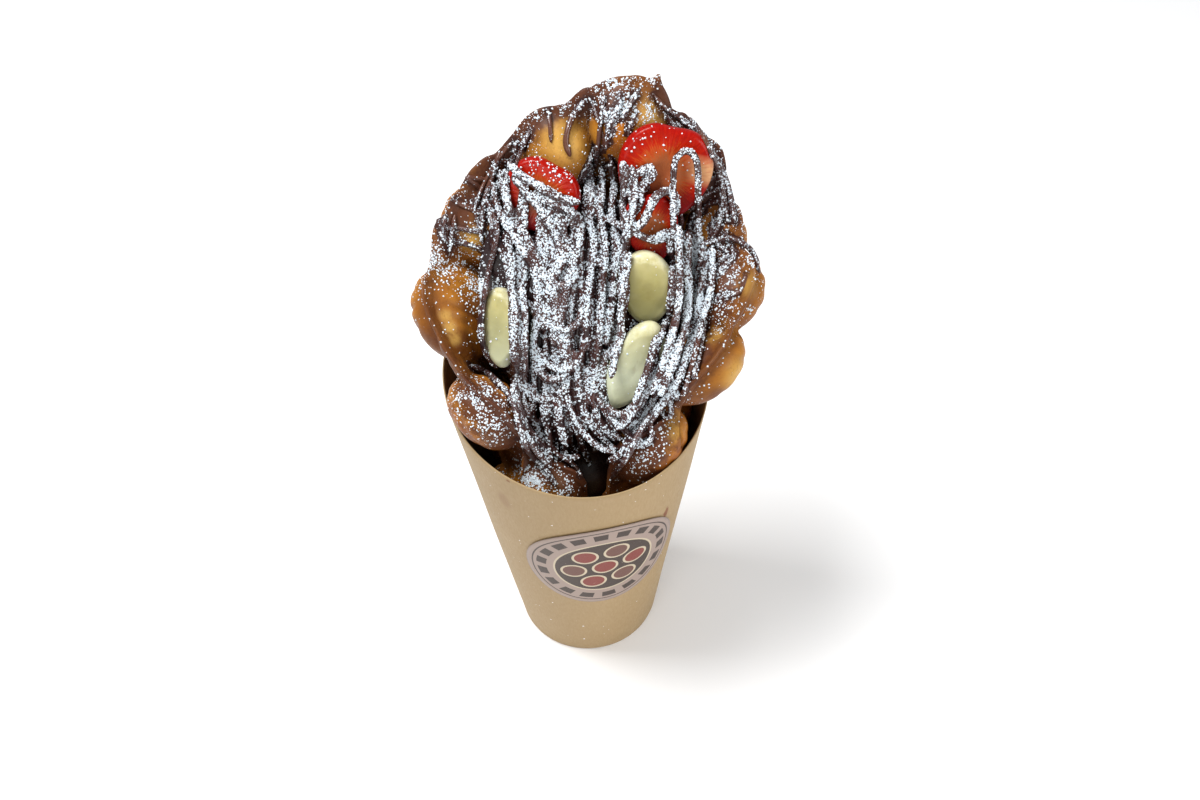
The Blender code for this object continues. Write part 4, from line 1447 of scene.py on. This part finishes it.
# %% Sauce finish
def sauce_finish():
    look = Finish("chocolate sauce", Specular_IOR_Level=0.4, Coat_Roughness=0.2)
    groove_shade, clean, _ = look.painted("marks")
    height = look.along("Z")
    swirl = look.use(grain_group, Scale=180.0)
    fine_wet = look.use(grain_group, Scale=900.0)
    melted_sugar = look.use(patch_group, Scale=120.0, Cover=0.5, Softness=0.3)
    look.colour = look.mixed(swirl, (0.034, 0.012, 0.010), (0.075, 0.027, 0.022))
    look.layer(melted_sugar, (0.16, 0.085, 0.075), 0.15)
    look.layer(clean, (0.125, 0.045, 0.022), 0.7)
    # Painted shade: near black in the grooves between the strings and in the hollows
    look.layer(groove_shade, (0.016, 0.0045, 0.005))
    # Painted shade: darker low in the cone
    look.layer(look.between(height, 0.150, 0.128), (0.020, 0.007, 0.004))
    look.give(look.shader["Coat Weight"], look.between(groove_shade, 0.0, 0.7, 0.2, 0.0))
    covered = look.maths("MAXIMUM", groove_shade, clean)
    amount = look.between(height, 0.120, 0.175, 0.0, 0.20)
    amount = look.times(amount, look.between(covered, 0.0, 0.6, 1.0, 0.06))
    roughness = look.spread(fine_wet, 0.22, 0.40)
    dusting = dusted(look, amount, 2000.0, roughness, look.times(fine_wet, 0.5), WET_SUGAR)
    return look.done(*dusting, 0.12 * MM)


chocolate = sauce_finish()
filling = piece("sauce_plug", plug_shape, chocolate, ["filling"])
heap = piece("sauce_heap", heap_shape, chocolate, ["filling"])
heap_tree = tree_of(heap_shape)
heap_points = heap_shape[0]


def hollow(points):
    """1 in the hollows between the strings, which get painted shade, falling to 0 around them."""
    return near_spots(points, heap_tree, SHADED_HOLLOWS, 3)


# Marks the grooves between the strings and the hollows for painted shade
string_gap, string_size = nearest_string(heap_points, strings)
between_strings = smooth_step((string_gap - string_size) / GROOVE_WIDTH)
heap_painted_shade = np.maximum(between_strings, hollow(heap_points))
paint(heap, "marks", rows(heap_painted_shade, 0.0, 0.0))
# The plug gets the painted shade all over, as it lies deep in shade wherever it shows
paint(filling, "marks", np.ones(len(plug_shape[0])))

# %% [markdown]
# ## Strings on the waffle
# The same sauce is drizzled over the standing sheet. Thin strings run down its inner face from the edge,
# and a few fold over the bubbles at the front. They are drawn in the same two ways: strings of a rule
# along the inner wall, then lines of pixels for the ones that stand out in the photo.

# %% Strings on the waffle
BUBBLE_STRINGS = [
    [(486, 198), (497, 225), (494, 250), (488, 275), (484, 300)],
    [(470, 200), (478, 222), (483, 244)],
    [(455, 215), (452, 232), (450, 250)],
    [(470, 365), (486, 372), (500, 384), (512, 400), (520, 428), (529, 452)],
    [(520, 440), (535, 460), (546, 470), (556, 486)],
    [(553, 452), (570, 462), (582, 476)],
    [(650, 414), (636, 438), (625, 460), (612, 478)],
    [(702, 322), (697, 345), (691, 370), (684, 395)],
    [(700, 244), (713, 241), (728, 238), (741, 242), (750, 249), (756, 259), (758, 268)],
    [(703, 242), (700, 262), (694, 285)],
    [(548, 108), (550, 125), (551, 142)],
    [(612, 456), (606, 466), (604, 480), (600, 494)],
    [(590, 450), (592, 462), (587, 476)],
    [(604, 96), (601, 120), (598, 146), (595, 168)],
    [(585, 100), (572, 118), (566, 140), (570, 156)],
    [(620, 92), (618, 108), (608, 128), (606, 150)],
    [(640, 88), (630, 104), (622, 118)],
    [(655, 96), (665, 108), (680, 118), (694, 130)],
    [(690, 118), (705, 140), (716, 165), (724, 192), (728, 222)],
    [(700, 130), (717, 159), (729, 190), (735, 222)],
    [(712, 148), (722, 180), (722, 210), (714, 236)],
    [(530, 130), (522, 148), (516, 165)],
    [(512, 142), (498, 160), (484, 184), (474, 210)],
    [(500, 152), (492, 178), (484, 205), (482, 232)],
]
WALL_STRING_RADIUS = 1.2 * MM
# Strings down the inner wall: from one angle to another in degrees, and how many
WALL_STRINGS = [(-66, -30, 7), (-2, 9, 3), (25, 84, 9)]

# Thin sauce spread over the crust: pixels of its middle line, and its half width in millimetres
FILMS = [
    ([(474, 388), (484, 408), (500, 428), (516, 446)], 11),
    ([(520, 452), (545, 468), (575, 480), (590, 486)], 9),
    ([(608, 476), (622, 450), (640, 428), (655, 412)], 8),
    ([(700, 318), (694, 345), (684, 372), (668, 398)], 8),
    ([(462, 205), (455, 228), (450, 246)], 6),
    ([(722, 258), (721, 285), (714, 312)], 7),
    ([(640, 424), (654, 438), (642, 462)], 10),
    ([(612, 474), (628, 464), (644, 474)], 8),
    ([(524, 128), (545, 112), (572, 98), (600, 90)], 6),
    ([(570, 108), (600, 100), (628, 96)], 6),
    ([(665, 96), (695, 125), (720, 165), (732, 205)], 7),
    ([(515, 140), (495, 165), (480, 195)], 7),
]
# Where the crust stays bare, and where it is pale gold, which is in part a painted highlight: a pixel, and a
# radius in millimetres
BARE_SPOTS = [
    ((438, 328), 17), ((728, 374), 16), ((678, 447), 10), ((666, 464), 6), ((500, 372), 5),
    ((566, 140), 9), ((751, 290), 7), ((551, 132), 5), ((597, 134), 5), ((684, 112), 6),
    ((702, 138), 5), ((666, 97), 4), ((480, 178), 5), ((462, 214), 5), ((500, 150), 4),
]
GOLD_AND_HIGHLIGHT_SPOTS = [
    ((564, 142), 9), ((653, 115), 6.5), ((504, 373), 4), ((470, 238), 5), ((556, 482), 4), ((712, 336), 4),
    ((672, 432), 4), ((737, 374), 6), ((752, 284), 5), ((446, 316), 2.2), ((450, 328), 2.4),
    ((455, 340), 2.2),
]
# Where the crust is darker: in part baked dark, in part painted shade low on the bubbles
TOASTED_AND_SHADED_SPOTS = [
    ((430, 312), 5), ((472, 310), 7), ((434, 338), 7), ((446, 353), 6), ((466, 340), 6), ((704, 300), 4),
    ((630, 476), 7), ((716, 394), 5),
]

# Where the sugar lies thick: pixels of a middle line, a half width in millimetres, and how much more of it
THICK_SUGAR = [
    ([(434, 268), (448, 258), (464, 262), (476, 284)], 6, 3.2),
    ([(530, 476), (546, 481), (560, 489)], 5, 3.2),
    ([(598, 105), (612, 103), (628, 102), (644, 112)], 4.5, 3.2),
    ([(690, 236), (692, 262), (690, 290)], 7, 0.8),
]

BELOW_EDGE = 1.0 * MM
BELOW_RIM = 2 * MM
LONGEST_WALL_STRING = 48 * MM
WALL_STRING_POINTS = 40
FEWEST_POINTS = 13
LINE_STEP = 6
SMEAR_CORE = 1.0 * MM
SMEAR_WIDTH = 1.3 * MM


def wall_string(angle, swing):
    """A string that runs down the inner wall from just below the edge, with a slow sideways swing."""
    share = np.linspace(0, 1, WALL_STRING_POINTS)
    turn = angle + swing * np.sin(4.2 * share + 9 * angle)
    high = edge_height(angle) - BELOW_EDGE
    _, heap_rim = heap_side(angle)
    low = max(heap_rim - BELOW_RIM, high - LONGEST_WALL_STRING)
    path = []
    for at, height in zip(turn, high + (low - high) * share):
        start = Vector((LEAN_SLOPE * max(height - LEAN_START, 0), 0, height))
        ray = Vector((math.sin(at), math.cos(at), 0))
        hit = sheet_tree.ray_cast(start, ray)[0]
        if hit is not None:
            path.append(np.array(hit + ray * 0.15 * WALL_STRING_RADIUS))
    return np.array(path)


def near_lines(points, lines):
    """1 on these lines of pixels on the waffle, falling to 0 around their half widths."""
    found = [
        nearness(points, seen_places(on_waffle, smooth_line(line, LINE_STEP)), half_width * MM, 2)
        for line, half_width in lines
    ]
    return np.max(found, axis=0)


def bare_places(points):
    return near_spots(points, on_waffle, BARE_SPOTS, 4)


sheet_tree = tree_of(shape_of(sheet))
waffle_strings = []
for first, last, count in WALL_STRINGS:
    for number in range(count):
        degrees = first + (last - first) * (number + randomly.uniform(0, 1)) / count
        path = wall_string(math.radians(degrees), randomly.uniform(0.03, 0.14))
        if len(path) >= FEWEST_POINTS:
            radius = WALL_STRING_RADIUS * randomly.uniform(0.6, 1.15)
            waffle_strings.append((path, radius * (1 + 0.3 * uneven(path, 4 * MM, 12))))
on_waffle = tree_of(joined([shape_of(sheet), shape_of(cup), *fruit_shapes, heap_shape]))
for pixels in BUBBLE_STRINGS:
    waffle_strings.append(drape(pixels, WALL_STRING_RADIUS * randomly.uniform(0.6, 1.0), on_waffle))
waffle_string_shapes = [tube(*string) for string in waffle_strings]
sauce_strings = piece("sauce_strings", joined(waffle_string_shapes), chocolate)
clean = bare_places(shape_of(sauce_strings)[0])
paint(sauce_strings, "marks", rows(0.0, clean, 0.0))

crust_points, _ = shape_of(sheet)
string_gap, _ = nearest_string(crust_points, strings + waffle_strings)
paint(sheet, "sauce", np.exp(-((np.maximum(string_gap - SMEAR_CORE, 0) / SMEAR_WIDTH) ** 2)))
paint(sheet, "toasted", near_spots(crust_points, on_waffle, TOASTED_AND_SHADED_SPOTS, 2))
film = near_lines(crust_points, FILMS)
gold_and_highlight = near_spots(crust_points, on_waffle, GOLD_AND_HIGHLIGHT_SPOTS, 3)
paint(sheet, "places", rows(film, bare_places(crust_points), gold_and_highlight))

# %% [markdown]
# ## Powdered sugar
# The sugar falls from a sieve held above the open front, so it comes down at a slant. Each clump is a tiny
# flattened lump of eight faces. Rays in the direction of the fall find where the clumps land, and the kind
# of thing they land on says how many stay: many on wet sauce, fewer on crust, almost none on fruit.

# %% Sugar shape
SUGAR_FALL = Vector((0.05, 0.52, -0.85)).normalized()
SUGAR_DROPS = 250000
SUGAR_FALL_FROM = 250 * MM
SUGAR_HALF_WIDTH = 72 * MM
SUGAR_ABOVE_MIDDLE = 60 * MM
SUGAR_LOWEST = 100 * MM
SUGAR_THIN_BELOW = 135 * MM
SUGAR_FULL_ABOVE = 175 * MM
SUGAR_MIDDLE_X = 8 * MM
SUGAR_REACH = 56 * MM
GROOVE_REACH = 4 * MM
SUGAR_RADIUS = 0.42 * MM
BARE_FROM = 12 * MM
# The share that stays on each kind of thing where the sugar hits it squarely, and how fast that falls
# where it hits at a slant
SUGAR_STAYS = {
    "sauce": (0.44, 0.8),
    "thread": (0.22, 1.5),
    "crust": (0.28, 2.2),
    "strawberry": (0.10, 1.0),
    "banana": (0.002, 1.0),
    "paper": (0.001, 1.0),
}

surfaces = [
    ("sauce", heap_shape),
    ("thread", shape_of(sauce_strings)),
    ("crust", shape_of(sheet)),
    ("paper", shape_of(cup)),
]
surfaces += [("strawberry" if "strawberry" in made.name else "banana", shape_of(made)) for made in slices]
kind_of_face = np.repeat([kind for kind, _ in surfaces], [len(shape[1]) for _, shape in surfaces])
landing_tree = tree_of(joined([shape for _, shape in surfaces]))


def sugar_landings():
    """Where the clumps land: rows of position and surface direction."""
    box_low, box_high = (np.array(corner) for corner in CAD_BOX)
    across = np.array(SUGAR_FALL.cross(Vector((1, 0, 0))).normalized())
    sideways = np.cross(across, np.array(SUGAR_FALL))
    middle = (box_low + box_high) / 2 + (0, 0, SUGAR_ABOVE_MIDDLE)
    spread = randomly.uniform(-SUGAR_HALF_WIDTH, SUGAR_HALF_WIDTH, (SUGAR_DROPS, 2))
    starts = middle + spread[:, :1] * across + spread[:, 1:] * sideways
    starts -= np.array(SUGAR_FALL) * SUGAR_FALL_FROM
    chances = randomly.uniform(0, 1, SUGAR_DROPS)
    landed = []
    for start, chance in zip(starts, chances):
        spot, normal, face, _ = landing_tree.ray_cast(Vector(start), SUGAR_FALL)
        if spot is not None:
            facing = max(0.0, -(normal @ SUGAR_FALL))
            kind = kind_of_face[face]
            share, shy = SUGAR_STAYS[kind]
            bare = 0.15 if kind == "strawberry" and spot.x > BARE_FROM else 1.0
            landed.append((*spot, *normal, chance, bare * share * facing**shy))
    landed = np.array(landed)
    spots = landed[:, :3]
    patchy = smooth_step(0.75 + 0.9 * uneven(spots, 5 * MM, 13) + 0.5 * uneven(spots, 1.8 * MM, 14))
    near_heap = np.exp(-((np.hypot(spots[:, 0] - SUGAR_MIDDLE_X, spots[:, 1]) / SUGAR_REACH) ** 4))
    gap, size = nearest_string(spots, strings + waffle_strings)
    low = np.where(gap < GROOVE_REACH, 0.8 * smooth_step((gap - size) / GROOVE_WIDTH), 0.0)
    more = 1 + 0.8 * near_lines(spots, FILMS)
    for line, half_width, extra in THICK_SUGAR:
        more *= 1 + extra * near_lines(spots, [(line, half_width)])
    less = (1 - 0.95 * bare_places(spots)) * (1 - low) * (1 - 0.9 * hollow(spots))
    upper = np.interp(spots[:, 2], (SUGAR_THIN_BELOW, SUGAR_FULL_ABOVE), (0.55, 1.0))
    chance = landed[:, 7] * patchy * (0.3 + 0.7 * near_heap) * upper * more * less
    keep = landed[:, 6] < chance * (spots[:, 2] > SUGAR_LOWEST)
    return spots[keep], landed[keep, 3:6]


def sugar_clumps(spots, normals):
    """A flattened lump of six points and eight faces at each place."""
    count = len(spots)
    first = np.cross(normals, randomly.normal(size=(count, 3)))
    first /= np.linalg.norm(first, axis=1, keepdims=True)
    second = np.cross(normals, first)
    size = SUGAR_RADIUS * randomly.uniform(0.45, 1.35, (count, 1))
    reach = randomly.uniform(0.6, 1.2, (count, 5, 1))
    corners = [
        spots + first * size * reach[:, 0],
        spots + second * size * reach[:, 1],
        spots - first * size * reach[:, 2],
        spots - second * size * reach[:, 3],
        spots + normals * size * reach[:, 4] * 0.8,
        spots - normals * size * 0.4,
    ]
    points = np.stack(corners, 1).reshape(-1, 3)
    sides = [(0, 1, 4), (1, 2, 4), (2, 3, 4), (3, 0, 4), (1, 0, 5), (2, 1, 5), (3, 2, 5), (0, 3, 5)]
    faces = (6 * np.arange(count)[:, None, None] + np.array(sides)).reshape(-1, 3)
    return points, faces.tolist()


def sugar_finish():
    look = Finish(
        "powdered sugar clumps",
        Specular_IOR_Level=0.3,
        Subsurface_Weight=0.2,
        Subsurface_Radius=(0.0006, 0.0006, 0.0006),
    )
    crumbly = look.use(grain_group, Scale=2600.0)
    damp = look.use(patch_group, Scale=200.0, Cover=0.4, Softness=0.3)
    look.colour = look.mixed(crumbly, (0.70, 0.79, 0.86), (0.84, 0.92, 0.98))
    look.layer(damp, (0.50, 0.51, 0.57), 0.4)
    return look.done(look.spread(crumbly, 0.8, 0.95), crumbly, 0.08 * MM)


sugar_spots, sugar_normals = sugar_landings()
print("clumps of sugar:", len(sugar_spots))
piece("powdered_sugar", sugar_clumps(sugar_spots, sugar_normals), sugar_finish())
